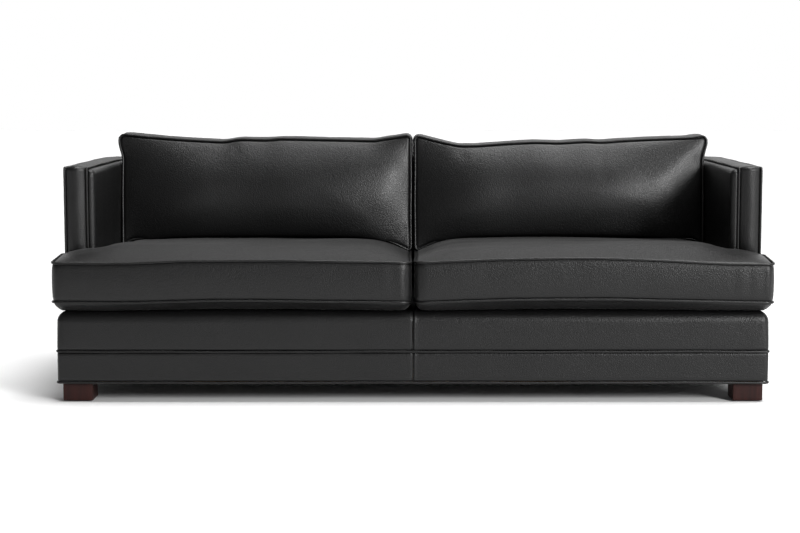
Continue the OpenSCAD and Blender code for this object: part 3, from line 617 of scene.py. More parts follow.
def block_skin(xs, ys, zs):
    """Points and faces of the closed skin of a block, with lines at the given places."""
    index = {}
    points = []

    def at(i, j, k):
        if (i, j, k) not in index:
            index[(i, j, k)] = len(points)
            points.append((xs[i], ys[j], zs[k]))
        return index[(i, j, k)]
    nx, ny, nz = len(xs) - 1, len(ys) - 1, len(zs) - 1
    faces = []
    for i in range(nx):
        for j in range(ny):
            faces.append((at(i, j, 0), at(i, j + 1, 0), at(i + 1, j + 1, 0), at(i + 1, j, 0)))
            faces.append((at(i, j, nz), at(i + 1, j, nz), at(i + 1, j + 1, nz), at(i, j + 1, nz)))
    for i in range(nx):
        for k in range(nz):
            faces.append((at(i, 0, k), at(i + 1, 0, k), at(i + 1, 0, k + 1), at(i, 0, k + 1)))
            faces.append((at(i, ny, k), at(i, ny, k + 1), at(i + 1, ny, k + 1), at(i + 1, ny, k)))
    for j in range(ny):
        for k in range(nz):
            faces.append((at(0, j, k), at(0, j, k + 1), at(0, j + 1, k + 1), at(0, j + 1, k)))
            faces.append((at(nx, j, k), at(nx, j + 1, k), at(nx, j + 1, k + 1), at(nx, j, k + 1)))
    return np.array(points, float), faces


def round_towards(points, corner, signs, radius):
    """Rounds the edges of a block that meet at one corner; a sign of 0 leaves that axis square."""
    signs = np.array(signs, float)
    inner = np.array(corner, float) - signs * radius
    beyond = np.maximum((points - inner) * signs, 0) * (signs != 0)
    size = np.linalg.norm(beyond, axis=1)
    over = size > radius
    scale = np.where(over, radius / np.maximum(size, 1e-9), 1.0)
    points -= signs * beyond * (1 - scale)[:, None]
    return points


# Boxed cushions, drawn with their show face upwards and then put in place

class Cushion:
    """Grid of a boxed cushion: a show face, an under face and the boxing between them."""

    def __init__(self, us, vs, inside, corners, warp):
        self.us, self.vs, self.inside = us, vs, inside
        self.index = {}
        flat = []
        for j in range(len(vs) - 1):
            for i in range(len(us) - 1):
                if inside(i, j):
                    for a, b in ((i, j), (i + 1, j), (i + 1, j + 1), (i, j + 1)):
                        if (a, b) not in self.index:
                            self.index[(a, b)] = len(flat)
                            flat.append((us[a], vs[b]))
        self.flat = np.array(flat, float)
        plan = self.flat.copy()
        for cu, cv, su, sv, radius in corners:
            u = 1 - (self.flat[:, 0] - cu) * su / radius
            v = 1 - (self.flat[:, 1] - cv) * sv / radius
            near = (u > 0) & (v > 0) & (u <= 1.0001) & (v <= 1.0001)
            plan[near, 0] = cu + su * radius * (1 - u[near] * np.sqrt(1 - v[near] ** 2 / 2))
            plan[near, 1] = cv + sv * radius * (1 - v[near] * np.sqrt(1 - u[near] ** 2 / 2))
        warped = warp(plan)
        self.plan, self.sag = warped[:, :2], warped[:, 2:]
        self.loop = self.outline()

    def outline(self):
        """Grid points round the edge, anticlockwise."""
        follow = {}
        for j in range(len(self.vs) - 1):
            for i in range(len(self.us) - 1):
                if not self.inside(i, j):
                    continue
                for (a, b), (c, d), (e, f) in (((i, j), (i + 1, j), (i, j - 1)),
                                               ((i + 1, j), (i + 1, j + 1), (i + 1, j)),
                                               ((i + 1, j + 1), (i, j + 1), (i, j + 1)),
                                               ((i, j + 1), (i, j), (i - 1, j))):
                    empty = not (0 <= e < len(self.us) - 1 and 0 <= f < len(self.vs) - 1
                                 and self.inside(e, f))
                    if empty:
                        follow[(a, b)] = (c, d)
        first = min(follow)
        loop = [first]
        while follow[loop[-1]] != first:
            loop.append(follow[loop[-1]])
        return [self.index[p] for p in loop]

    def outward(self):
        """Outward direction at each point round the edge."""
        edge = self.plan[self.loop]
        along = np.roll(edge, -1, 0) - np.roll(edge, 1, 0)
        out = np.stack([along[:, 1], -along[:, 0]], 1)
        return out / np.linalg.norm(out, axis=1)[:, None]

    def build(self, show, under, rows, swell):
        """Points and faces of the cushion, and the points of its two seams."""
        top = np.column_stack([self.plan, show])
        if self.sag.size:
            top[:, 1] -= self.sag[:, 0]
        bottom = np.column_stack([self.plan, under])
        points = [top, bottom]
        count = len(self.flat)
        rim = len(self.loop)
        upper, lower = top[self.loop], bottom[self.loop]
        out = self.outward()
        for r in range(1, rows):
            f = r / rows
            row = upper * (1 - f) + lower * f
            row[:, :2] += out * swell(f)[:, None]
            points.append(row)
        faces = []
        for j in range(len(self.vs) - 1):
            for i in range(len(self.us) - 1):
                if self.inside(i, j):
                    a, b = self.index[(i, j)], self.index[(i + 1, j)]
                    c, d = self.index[(i + 1, j + 1)], self.index[(i, j + 1)]
                    faces.append((a, b, c, d))
                    faces.append((count + a, count + d, count + c, count + b))

        def ring(r, k):
            k %= rim
            if r == 0:
                return self.loop[k]
            if r == rows:
                return count + self.loop[k]
            return 2 * count + (r - 1) * rim + k
        for r in range(rows):
            for k in range(rim):
                faces.append((ring(r, k), ring(r + 1, k), ring(r + 1, k + 1), ring(r, k + 1)))
        seams = [list(self.loop), [count + p for p in self.loop]]
        return np.concatenate(points), faces, seams


def ridge(points, start, end, width, height):
    """Height of a fold that runs along a line and dies out at both ends."""
    start, end = np.array(start, float), np.array(end, float)
    along = end - start
    length = np.linalg.norm(along)
    along /= length
    rel = points - start
    t = rel @ along / length
    off = np.abs(rel @ np.array([-along[1], along[0]]))
    window = smooth_step(np.minimum(t, 1 - t) * 3 + 0.15)
    return height * window * np.exp(-(off / width) ** 2)


# Settings of the cloth for stiff leather over foam
CLOTH = {"quality": 4, "mass": 0.4, "tension_stiffness": 20, "compression_stiffness": 12,
         "shear_stiffness": 8, "bending_stiffness": 1.2, "air_damping": 3, "use_pressure": True}


def swell_cloth(piece, pinned, pressure, stretch, cap, calm=16, frames=18):
    """How far each point moves when Blender's cloth swells the panels between their seams, eased."""
    scene = bpy.context.scene
    start = np.array([v.co for v in piece.data.vertices], float)
    seam = piece.vertex_groups.new(name="seam")
    seam.add([int(p) for p in pinned], 1.0, "REPLACE")
    cloth = piece.modifiers.new("swell", "CLOTH")
    settings = cloth.settings
    for key, value in CLOTH.items():
        setattr(settings, key, value)
    settings.vertex_group_mass = "seam"
    settings.uniform_pressure_force = pressure
    settings.shrink_min = -stretch
    settings.effector_weights.gravity = 0
    cloth.collision_settings.use_collision = False
    cloth.point_cache.frame_start = 1
    cloth.point_cache.frame_end = frames
    for f in range(1, frames + 1):
        scene.frame_set(f)
    graph = bpy.context.evaluated_depsgraph_get()
    shaped = piece.evaluated_get(graph).to_mesh()
    end = np.array([v.co for v in shaped.vertices], float)
    piece.evaluated_get(graph).to_mesh_clear()
    piece.modifiers.remove(cloth)
    piece.vertex_groups.remove(seam)
    scene.frame_set(1)
    move = end - start
    edges = np.array([e.vertices for e in piece.data.edges])
    beside = np.zeros(len(move))
    np.add.at(beside, edges.ravel(), 1.0)
    held = np.zeros(len(move), bool)
    held[pinned] = True
    for _ in range(calm):
        total = np.zeros_like(move)
        np.add.at(total, edges[:, 0], move[edges[:, 1]])
        np.add.at(total, edges[:, 1], move[edges[:, 0]])
        move = np.where(held[:, None], 0.0, 0.4 * move + 0.6 * total / beside[:, None])
    size = np.linalg.norm(move, axis=1)
    return move * np.minimum(1, cap / np.maximum(size, 1e-9))[:, None]


def set_points(piece, points):
    """Writes new places of a piece's points."""
    piece.data.vertices.foreach_set("co", np.asarray(points, np.float32).ravel())
    piece.data.update()


def finer(piece):
    """One subdivision, applied."""
    step = piece.modifiers.new("finer", "SUBSURF")
    step.levels = 1
    step.render_levels = 1
    step.boundary_smooth = "PRESERVE_CORNERS"
    graph = bpy.context.evaluated_depsgraph_get()
    mesh = bpy.data.meshes.new_from_object(piece.evaluated_get(graph))
    name = piece.data.name
    piece.modifiers.remove(step)
    old = piece.data
    piece.data = mesh
    bpy.data.meshes.remove(old)
    mesh.name = name
    mesh.polygons.foreach_set("use_smooth", [True] * len(mesh.polygons))


# How deep the leather is drawn in beside a welt, and how far from it
TUCK_DEPTH, TUCK_WIDTH = 0.0026, 0.0032


def tuck(piece, seams, radius):
    """Draws the leather in beside the welts, so that each welt stands proud of it."""
    dense = []
    for seam in seams:
        ahead = np.roll(seam, -1, 0)
        dense += [seam * (1 - f) + ahead * f for f in (0.0, 0.2, 0.4, 0.6, 0.8)]
    dense = np.concatenate(dense)
    tree = KDTree(len(dense))
    for k, place in enumerate(dense):
        tree.insert(place, k)
    tree.balance()
    mesh = piece.data
    places = np.array([v.co for v in mesh.vertices], float)
    normals = np.array([v.normal for v in mesh.vertices], float)
    apart = np.array([tree.find(place)[2] for place in places])
    depth = TUCK_DEPTH * np.exp(-(np.maximum(apart - radius * 1.2, 0) / TUCK_WIDTH) ** 2)
    set_points(piece, places - normals * depth[:, None])


def pleats_along(along, seed, count, depth, narrowest, widest):
    """Small pleats at random places round the edge of a cushion."""
    pick = np.random.default_rng(seed)
    pleats = np.zeros(len(along))
    for place, strength in zip(pick.uniform(0, along[-1], count), pick.uniform(-1, 1, count)):
        pleats += depth * strength * np.exp(-((along - place) / pick.uniform(narrowest, widest)) ** 2)
    return pleats


def cushion_piping(name, cushion, node, paths, side, seed):
    """The welts along both seams of a cushion, as one piece."""
    radius = bpy.context.scene.sofa_sizes.welt
    welts = [tube(path[::side], radius, True, uneven=0.05, seed=seed + k)
             for k, path in enumerate(paths)]
    first = len(welts[0][0])
    points = np.concatenate([np.array(welts[0][0]), np.array(welts[1][0])])
    faces = welts[0][1] + [tuple(p + first for p in f) for f in welts[1][1]]
    new_piece(name, points, faces, "welt", cushion, nodes=(node,))


# Measured lines of the seat seams: distance from the middle, and height, on each side
SEAT_SEAM = {
    -1: ([0.006, 0.06, 0.15, 0.28, 0.40, 0.50, 0.60, 0.70, 0.78, 0.86, 0.95, 1.106],
         [0.4358, 0.4395, 0.4405, 0.4422, 0.4449, 0.4439, 0.4435, 0.4435, 0.4398, 0.4364, 0.4357,
          0.4360]),
    1: ([0.003, 0.06, 0.15, 0.25, 0.36, 0.46, 0.56, 0.65, 0.73, 0.81, 0.89, 0.97, 1.04, 1.103],
        [0.4382, 0.4396, 0.4433, 0.4475, 0.4500, 0.4512, 0.4515, 0.4490, 0.4460, 0.4425, 0.4374, 0.4343,
         0.4333, 0.4322]),
}
SEAT_LOW_SEAM = {
    -1: ([0.006, 0.15, 0.30, 0.47, 0.62, 0.78, 0.92, 1.106],
         [0.3141, 0.3163, 0.3173, 0.3202, 0.3202, 0.3155, 0.3129, 0.3155]),
    1: ([0.003, 0.15, 0.30, 0.45, 0.60, 0.75, 0.90, 1.103],
        [0.3129, 0.3181, 0.3230, 0.3240, 0.3245, 0.3213, 0.3183, 0.3140]),
}

# Folds on the seat tops: start, end, width and height, measured from the middle of the sofa
SEAT_FOLDS = {
    -1: [((0.20, -0.43), (0.26, -0.18), 0.030, -0.0020), ((0.72, -0.44), (0.66, -0.20), 0.035, -0.0018),
         ((0.06, -0.36), (0.17, -0.42), 0.016, -0.0016), ((0.96, -0.38), (1.06, -0.42), 0.015, -0.0016)],
    1: [((0.15, -0.44), (0.22, -0.16), 0.030, -0.0018), ((0.80, -0.44), (0.73, -0.22), 0.030, -0.0022),
        ((0.06, -0.40), (0.15, -0.34), 0.016, -0.0016), ((0.98, -0.42), (1.07, -0.37), 0.015, -0.0018)],
}

# Upright pleats on the seat boxing: place, width and depth
SEAT_PLEATS = {
    -1: [(0.020, 0.006, -0.0022), (0.038, 0.007, 0.0016), (0.060, 0.008, -0.0014),
         (0.090, 0.012, 0.0012), (1.092, 0.006, -0.0016), (1.070, 0.008, 0.0012)],
    1: [(0.018, 0.006, 0.0012), (0.034, 0.007, -0.0014), (1.092, 0.006, 0.0016), (1.076, 0.006, -0.0024),
        (1.058, 0.008, 0.0020), (1.036, 0.010, -0.0014), (1.008, 0.014, 0.0012)],
}


def seat_seam(u, v, side, front, rear):
    """Height of the upper seam of a seat, whose waves fade towards the rear."""
    line = smooth_line(*SEAT_SEAM[side], blur=0.10)
    deep = np.clip((v - front) / (rear - front), 0, 1)
    fade = 1 - 0.65 * np.clip(deep / 0.6, 0, 1)
    outward = smooth_step((u - 0.35) / 0.65)
    lift = 0.014 * np.clip((v - front) / 0.17, 0, 1) * outward * (1 - smooth_step((v + 0.31) / 0.40))
    dip = 0.016 * np.exp(-(u / 0.06) ** 2) * smooth_step((v + 0.38) / 0.46)
    return SEAT_LEVEL + (line(u) - SEAT_LEVEL) * fade + lift - dip - 0.010 * deep


def seat_places(side):
    """Inner, outer and main edges of a seat cushion, its front, its rear and the rear of its ear."""
    box_low, box_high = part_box("seat_welts_" + SIDES[side])
    r = bpy.context.scene.sofa_sizes.welt
    inner = min(abs(box_low.x), abs(box_high.x)) + r
    outer = max(abs(box_low.x), abs(box_high.x)) - r
    return inner, outer, PAD_IN - r - 0.001, box_low.y + r, box_high.y - r, ARM_Y - 2 * r - 0.001


def from_notch(u, v, main, ear_rear):
    """Distance from the notch of a seat, in which the front of an arm stands."""
    return np.where(u > main, ear_rear - v,
                    np.where(v < ear_rear, np.hypot(main - u, ear_rear - v), main - u))


def seat_top(u, v, side):
    """Height of the top of a seat cushion at a distance u from the middle of the sofa and a depth v."""
    inner, outer, main, front, rear, ear_rear = seat_places(side)
    notch = from_notch(u, v, main, ear_rear)
    full = rise(v - front, 0.20, 2.6) * rise(u - inner, 0.22, 2.4) * rise(outer - u, 0.12, 2.2) \
        * rise(notch, 0.045, 2.0) * (0.30 + 0.70 * rise(rear - v, 0.42, 1.8))
    crown = bpy.context.scene.sofa_sizes.seat_crown
    return seat_seam(u, v, side, front, rear) + crown * full


def seat_bed(u, v):
    """Height on which a seat lies: the deck, and the padded edge of the base in front of it."""
    edge = bpy.context.scene.sofa_sizes.edge
    over = np.clip(1 - np.minimum(v - FRONT_Y, HALF_W - u) / edge, 0, 1)
    return DECK_Z + 0.0006 + 0.0014 * over - edge * (1 - np.sqrt(1 - over ** 2))


def round_under(distance, reach):
    """From 0 at an edge to 1 at a distance of reach from it, along a quarter of a circle."""
    return np.sqrt(1 - (1 - np.clip(distance / reach, 0, 1)) ** 2)


def seat_cushion(side):
    """A T-shaped seat cushion with crowned top, boxed sides and a belly that hangs over the edge."""
    sizes = bpy.context.scene.sofa_sizes
    name = SIDES[side]
    inner, outer, main, front, rear, ear_rear = seat_places(side)
    us = np.concatenate([spaced(inner, main, 0.017), spaced(main, outer, 0.017)[1:]])
    vs = np.concatenate([spaced(front, ear_rear, 0.016), spaced(ear_rear, rear, 0.018)[1:]])
    i_main = int(np.argmin(abs(us - main)))
    j_ear = int(np.argmin(abs(vs - ear_rear)))

    def warp(p):
        """Draws in the sides of the plan, as tight leather does between its corners."""
        q = p.copy()
        span = np.clip((p[:, 1] - ear_rear) / (rear - ear_rear), 0, 1)
        q[:, 0] -= 0.005 * np.sin(math.pi * span) * np.clip(1 - (main - p[:, 0]) / 0.2, 0, 1) \
            * (p[:, 0] <= main)
        deep = np.clip((p[:, 1] - front) / (rear - front), 0, 1)
        q[:, 0] += 0.004 * np.sin(math.pi * deep) * np.clip(1 - (p[:, 0] - inner) / 0.2, 0, 1)
        wide = np.clip((p[:, 0] - inner) / (outer - inner), 0, 1)
        q[:, 1] += 0.002 * np.sin(math.pi * wide) * np.clip(1 - (p[:, 1] - front) / 0.2, 0, 1)
        return q

    cushion = Cushion(us, vs, lambda i, j: i < i_main or j < j_ear,
                      [(inner, front, 1, 1, 0.034), (outer, front, -1, 1, 0.026),
                       (outer, ear_rear, -1, -1, 0.024), (main, rear, -1, -1, 0.024),
                       (inner, rear, 1, -1, 0.024)], warp)
    u, v = cushion.flat[:, 0], cushion.flat[:, 1]
    d_front, d_rear, d_inner, d_outer = v - front, rear - v, u - inner, outer - u
    d_notch = from_notch(u, v, main, ear_rear)
    low_line = smooth_line(*SEAT_LOW_SEAM[side], blur=0.12)
    edge = np.minimum.reduce([d_front, d_rear, d_inner, d_outer, d_notch])
    uneven = waves(11 + side, 7, 0.16, 0.5, 0.0022)(u, v) * rise(edge, 0.12, 1.5)
    show = seat_top(u, v, side) + sizes.wrinkle * uneven
    flat = np.column_stack([u, v])
    for start, end, width, height in SEAT_FOLDS[side]:
        show += sizes.wrinkle * ridge(flat, start, end, width, height)
    hang = rise(d_front, 0.060, 1.7) * round_under(d_inner, 0.045) * round_under(d_outer, 0.040) \
        * round_under(d_notch, 0.060) * round_under(d_rear, 0.060)
    under = low_line(u) - (low_line(u) - DECK_Z + sizes.seat_belly) * hang
    under = np.maximum(under, seat_bed(u, v))
    edge_points = cushion.plan[cushion.loop]
    on_front = edge_points[:, 1] < front + 0.03
    beside = (np.abs(edge_points[:, 0] - inner) < 0.015) & ~on_front
    against = (edge_points[:, 0] < main + 0.01) & (edge_points[:, 0] > main - 0.02) \
        & (edge_points[:, 1] > ear_rear + 0.02)
    behind = edge_points[:, 1] > rear - 0.01
    at_end = edge_points[:, 0] > outer - 0.012
    reach = np.where(beside | against | behind, 0.0012, np.where(at_end, 0.0018, 0.0028))
    reach = eased_round(reach, 7)
    pleats = pleats_along(run_along(edge_points), 40 + side, 60, 0.0004, 0.006, 0.02)
    for u0, width, height in SEAT_PLEATS[side]:
        pleats += 0.6 * on_front * height * np.exp(-((edge_points[:, 0] - u0) / width) ** 2)

    def swell(f):
        """How far the boxing stands out at a share f of its width."""
        return reach * math.sin(math.pi * f) ** 0.75 \
            + sizes.wrinkle * pleats * math.sin(math.pi * f) ** 0.5 * (reach > 0.0015)

    points, faces, seams = cushion.build(show, under, BOXING_ROWS, swell)
    points, faces = mirrored(points, faces, side)
    piece = new_piece("seat_cushion_" + name, points, faces, "seat_leather", "seat_cushion_" + name,
                      nodes=("seat_cover_" + name, "seat_core_" + name))
    free = points + swell_cloth(piece, seams[0] + seams[1], pressure=4.0, stretch=0.005, cap=0.007)
    # The swollen leather stays above the deck, below the back cushion and clear of what is beside it
    wall = (points[:, 0] * side < main - 0.004) | (points[:, 1] < ear_rear)
    free[:, 2] = np.maximum(free[:, 2], seat_bed(np.abs(free[:, 0]), free[:, 1]))
    lid = BACK_SEAT_Z - 0.0035
    free[:, 2] = np.where(points[:, 1] > UNDER_BACK_Y, np.minimum(free[:, 2], lid), free[:, 2])
    free[:, 0] = side * np.maximum(free[:, 0] * side, inner - 0.0012)
    free[:, 0] = np.where(wall, free[:, 0], side * np.minimum(free[:, 0] * side, main + 0.0012))
    behind_arm = points[:, 0] * side > main + 0.002
    free[:, 1] = np.where(behind_arm, np.minimum(free[:, 1], ear_rear + 0.003), free[:, 1])
    free[:, 1] = np.minimum(free[:, 1], rear + 0.001)
    free[:, 1] = np.maximum(free[:, 1], front - 0.007)
    free[:, 0] = side * np.minimum(free[:, 0] * side, outer + 0.0048)
    set_points(piece, free)
    finer(piece)
    paths = [points[seam] for seam in seams]
    tuck(piece, paths, sizes.welt)
    cushion_piping("seat_piping_" + name, "seat_cushion_" + name, "seat_welts_" + name, paths, side, 60)


# Measured lines of the top seams of the back cushions: distance from the middle, and height
BACK_SEAM = {
    -1: ([0.008, 0.028, 0.135, 0.287, 0.457, 0.505, 0.599, 0.651, 0.782, 0.910, 1.007],
         [0.8080, 0.8047, 0.7881, 0.7912, 0.7947, 0.7902, 0.7929, 0.7836, 0.7902, 0.7999, 0.8102]),
    1: ([0.008, 0.024, 0.094, 0.159, 0.220, 0.329, 0.423, 0.506, 0.596, 0.648, 0.741, 0.855, 0.962,
         1.009],
        [0.8060, 0.8023, 0.7843, 0.7705, 0.7705, 0.7784, 0.7829, 0.7802, 0.7860, 0.7826, 0.7895, 0.7940,
         0.7980, 0.8060]),
}

# Folds on the back cushions: start, end, width and height
BACK_FOLDS = {
    -1: [((0.05, 0.74), (0.12, 0.54), 0.050, 0.0040), ((0.060, 0.472), (0.018, 0.492), 0.007, -0.0030),
         ((0.045, 0.455), (0.015, 0.470), 0.006, -0.0022),
         ((0.62, 0.785), (0.60, 0.73), 0.014, -0.0014)],
    1: [((0.99, 0.775), (0.80, 0.635), 0.030, 0.0032), ((0.98, 0.70), (0.90, 0.60), 0.030, -0.0030),
        ((0.647, 0.76), (0.655, 0.63), 0.014, -0.0012), ((0.16, 0.765), (0.18, 0.72), 0.014, -0.0018)],
}


def back_cushion(side):
    """A loose boxed back cushion with a full front, leaning on the padded back."""
    sizes = bpy.context.scene.sofa_sizes
    name = SIDES[side]
    box_low, box_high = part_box("back_welts_" + name)
    r = sizes.welt
    inner = min(abs(box_low.x), abs(box_high.x)) + r
    outer = max(abs(box_low.x), abs(box_high.x)) - r
    foot, top = box_low.z + r, box_high.z - r
    front = box_low.y + r * 0.96
    touch = PAD_IN - r - 0.0008
    us = spaced(inner, outer, 0.016)
    vs = spaced(foot, top, 0.015)
    top_line = smooth_line(*BACK_SEAM[side], blur=0.035)
    table = np.linspace(inner, outer, 120)
    bed = seat_top(np.minimum(table, PAD_IN - 0.012), np.full(120, front - sizes.back_crown), side)
    sunk = np.minimum(table - inner, outer - table) / 0.19
    foot_line = smooth_line(table, bed + 0.001 + 0.013 * smooth_step(sunk), blur=0.02)

    def warp(p):
        """Fits the plan between the other cushion and the arm, and to the lines of its top and foot."""
        q = p.copy()
        up = np.clip((p[:, 1] - foot) / (top - foot), 0, 1)
        share = (p[:, 0] - inner) / (outer - inner)
        left = inner - 0.0010 + 0.0006 * np.sin(3.1 * math.pi * up + side)
        right = touch - 0.003 * (1 - smooth_step(up / 0.5)) + 0.0145 * smooth_step((up - 0.74) / 0.20)
        q[:, 0] = left + (right - left) * share
        sides = np.clip(np.minimum(p[:, 0] - inner, outer - p[:, 0]) / 0.10, 0, 1)
        near = (p[:, 1] - foot) / 0.022
        q[:, 1] = p[:, 1] + (top_line(q[:, 0]) - top) * up ** 3 \
            + (foot_line(q[:, 0]) - foot) * (1 - up) ** 3
        return np.column_stack([q, 0.025 * near * np.exp(1 - near) * smooth_step(sides)])

    cushion = Cushion(us, vs, lambda i, j: True,
                      [(inner, foot, 1, 1, 0.012), (outer, foot, -1, 1, 0.007),
                       (outer, top, -1, -1, 0.022), (inner, top, 1, -1, 0.018)], warp)
    u, v = cushion.flat[:, 0], cushion.flat[:, 1]
    d_low, d_top, d_in, d_out = v - foot, top - v, u - inner, outer - u
    full = (0.12 * rise(d_low, 0.05, 2.4) + 0.88 * rise(d_low, 0.26, 2.0)) * rise(d_top, 0.28, 1.8) \
        * rise(d_in, 0.30, 2.3) * rise(d_out, 0.30, 2.3)
    edge = np.minimum.reduce([d_low, d_top, d_in, d_out])
    plane = front + (cushion.plan[:, 1] - foot) * BACK_LEAN
    uneven = waves(21 + side, 7, 0.22, 0.6, 0.0022)(u, v) * rise(edge, 0.10, 1.5)
    swollen = sizes.back_crown * full + sizes.wrinkle * uneven
    for start, end, width, height in BACK_FOLDS[side]:
        swollen += sizes.wrinkle * ridge(cushion.plan, start, end, width, height)
    show = -plane + swollen
    under = -(plane + BACK_BOXING) - sizes.back_rear * full
    edge_points = cushion.plan[cushion.loop]
    on_top = edge_points[:, 1] > foot + 0.9 * (top - foot)
    below = edge_points[:, 1] < foot + 0.01
    inside = (edge_points[:, 0] < inner + 0.012) & ~below
    proud = (edge_points[:, 0] > PAD_IN) & (edge_points[:, 1] > PAD_TOP + 0.015)
    reach = np.where(inside, 0.0065, np.where(on_top, 0.006, np.where(below, 0.0004, 0.0012)))
    reach = eased_round(np.where(proud & ~on_top, 0.0075, reach), 7)
    pleats = pleats_along(run_along(edge_points), 70 + side, 40, 0.0014, 0.008, 0.03)

    def swell(f):
        """How far the boxing stands out at a share f of its width."""
        return reach * math.sin(math.pi * f) ** 0.8 \
            + sizes.wrinkle * pleats * math.sin(math.pi * f) ** 0.5 * on_top

    points, faces, seams = cushion.build(show, under, BOXING_ROWS, swell)
    points = np.column_stack([points[:, 0], -points[:, 2], points[:, 1]])
    points, faces = mirrored(points, faces, side)
    piece = new_piece("back_cushion_" + name, points, faces, "leather", "back_cushion_" + name,
                      nodes=("back_cover_" + name, "back_core_" + name))
    free = points + swell_cloth(piece, seams[0] + seams[1], pressure=4.0, stretch=0.003, cap=0.010)
    # The swollen leather stays above the seat, between the arm pads and on its own side of the middle
    ends = np.minimum(np.abs(free[:, 0]) - inner, outer - np.abs(free[:, 0])) / 0.19
    rest_on = foot_line(np.abs(free[:, 0])) - 0.0015 - 0.012 * smooth_step(ends)
    free[:, 2] = np.maximum(free[:, 2], rest_on)
    widest = np.where(free[:, 2] > PAD_TOP + 0.012, outer + 0.016, PAD_IN - 0.0004)
    free[:, 0] = side * np.clip(free[:, 0] * side, 0.0001, widest)
    set_points(piece, free)
    finer(piece)
    paths = [points[seam] for seam in seams]
    tuck(piece, paths, r)
    cushion_piping("back_piping_" + name, "back_cushion_" + name, "back_welts_" + name, paths, side, 80)


# Base and frame covers

def base_profile(edge, ledge):
    """Rows of the front cover from its foot to the rear of its ledge: inset, height, tilt."""
    rows = [(0.0026, BASE_LOW, 0.0), (0.0008, BASE_LOW + 0.0015, 0.0), (0.0, BASE_LOW + 0.004, 0.0)]
    below, above = MID_WELT_Z - HALF_GROOVE, MID_WELT_Z + HALF_GROOVE
    for z in np.linspace(BASE_LOW + 0.014, below - 0.010, 6):
        rows.append((0.0, z, 0.0))
    rows += [(0.0002, below - 0.003, 0.0), (0.0014, below - 0.0008, 0.0), (0.0034, below + 0.0006, 0.0),
             (0.0040, MID_WELT_Z, 0.0), (0.0034, above - 0.0006, 0.0), (0.0014, above + 0.0008, 0.0),
             (0.0002, above + 0.003, 0.0)]
    for z in np.linspace(above + 0.010, DECK_Z - edge - 0.004, 6):
        rows.append((0.0, z, 0.0))
    for a in quarter(9):
        rows.append((edge * (1 - math.cos(a)), DECK_Z - edge * (1 - math.sin(a)), a))
    for e in np.linspace(edge + 0.012, ledge, 6):
        rows.append((e, DECK_Z, math.pi / 2))
    return rows


def base_front(side):
    """Half of the front of the base: face, padded top edge, corner and the ledge behind."""
    sizes = bpy.context.scene.sofa_sizes
    name = SIDES[side]
    ledge = ARM_Y - FRONT_Y - 0.004
    rows = base_profile(sizes.edge, ledge)
    end_y = ARM_Y - FIT
    seam = np.array([0.0, 0.0016, 0.0034, 0.0052, 0.0070, 0.0095, 0.018])
    ripple = waves(31 + side, 9, 0.08, 0.40, 0.0004)
    outer, inner = [], []
    for e, z, tilt in rows:
        for layer, grid in ((0, outer), (sizes.leather, inner)):
            inset = e + layer * math.cos(tilt)
            height = z - layer * math.sin(tilt)
            corner = BASE_CORNER + 0.010 * smooth_step((z - 0.17) / 0.09)
            corner = max(corner - inset, 0.0015)
            x1 = HALF_W - inset - corner
            y0 = FRONT_Y + inset
            straight = np.concatenate([seam, np.linspace(0.035, x1, 62)])
            row = [(x, y0) for x in straight]
            for a in quarter(9)[1:-1]:
                row.append((x1 + corner * math.sin(a), y0 + corner * (1 - math.cos(a))))
            row += [(HALF_W - inset, y) for y in np.linspace(y0 + corner, end_y, 12)]
            row = np.array(row)
            shift, roll, lip = np.zeros(len(row)), 0, 0
            if layer == 0:
                wave = ripple(row[:, 0] + row[:, 1], np.full(len(row), height))
                shift = wave * (1 - tilt / (math.pi / 2)) * np.clip((row[:, 0] - 0.004) / 0.03, 0, 1)
                plump = math.sin(math.pi * np.clip((z - MID_WELT_Z) / (DECK_Z - MID_WELT_Z), 0, 1))
                shift = shift + 0.0012 * plump
                if e >= 0.0014 and tilt == 0:
                    shift = shift * 0
                roll = 0.0038 * np.exp(-((row[:, 0]) / 0.0034) ** 2)
                lip = 0.0014 * np.exp(-((row[:, 0] - 0.0052) / 0.0024) ** 2) * (side > 0)
            column = np.column_stack([row[:, 0], row[:, 1], np.full(len(row), height)])
            push = roll - shift - lip
            column[:, 1] += np.where(row[:, 0] < x1, push * math.cos(tilt), 0)
            column[:, 2] -= np.where(row[:, 0] < x1, push * math.sin(tilt), 0)
            grid.append(column)
    outer, inner = np.array(outer), np.array(inner)
    outer[:, 0, 0] = inner[:, 0, 0] = FIT
    points, faces = sheet_of(outer, inner)
    points, faces = mirrored(points, faces, side)
    new_piece("base_front_" + name, points, faces, "leather",
              nodes=("base_cover_front_" + name, "front_edge_roll"))


def wall_rows(z0, z1, step, groove=None):
    """Rows of an upright panel: inset and height, rolled in at its edges and at a welt."""
    rows = [(0.0026, z0), (0.0008, z0 + 0.0014), (0.0, z0 + 0.004)]
    stops = [(z0 + 0.004, z1 - 0.004)]
    if groove:
        stops = [(z0 + 0.004, groove - 0.008), (groove + 0.008, z1 - 0.004)]
    for k, (a, b) in enumerate(stops):
        count = max(2, round((b - a) / step))
        rows += [(0.0, z) for z in np.linspace(a, b, count + 1)[1:]]
        if groove and k == 0:
            rows += [(0.0012, groove - 0.0050), (0.0034, groove - 0.0036), (0.0040, groove),
                     (0.0034, groove + 0.0036), (0.0012, groove + 0.0050), (0.0, groove + 0.008)]
    rows += [(0.0008, z1 - 0.0014), (0.0026, z1)]
    return rows


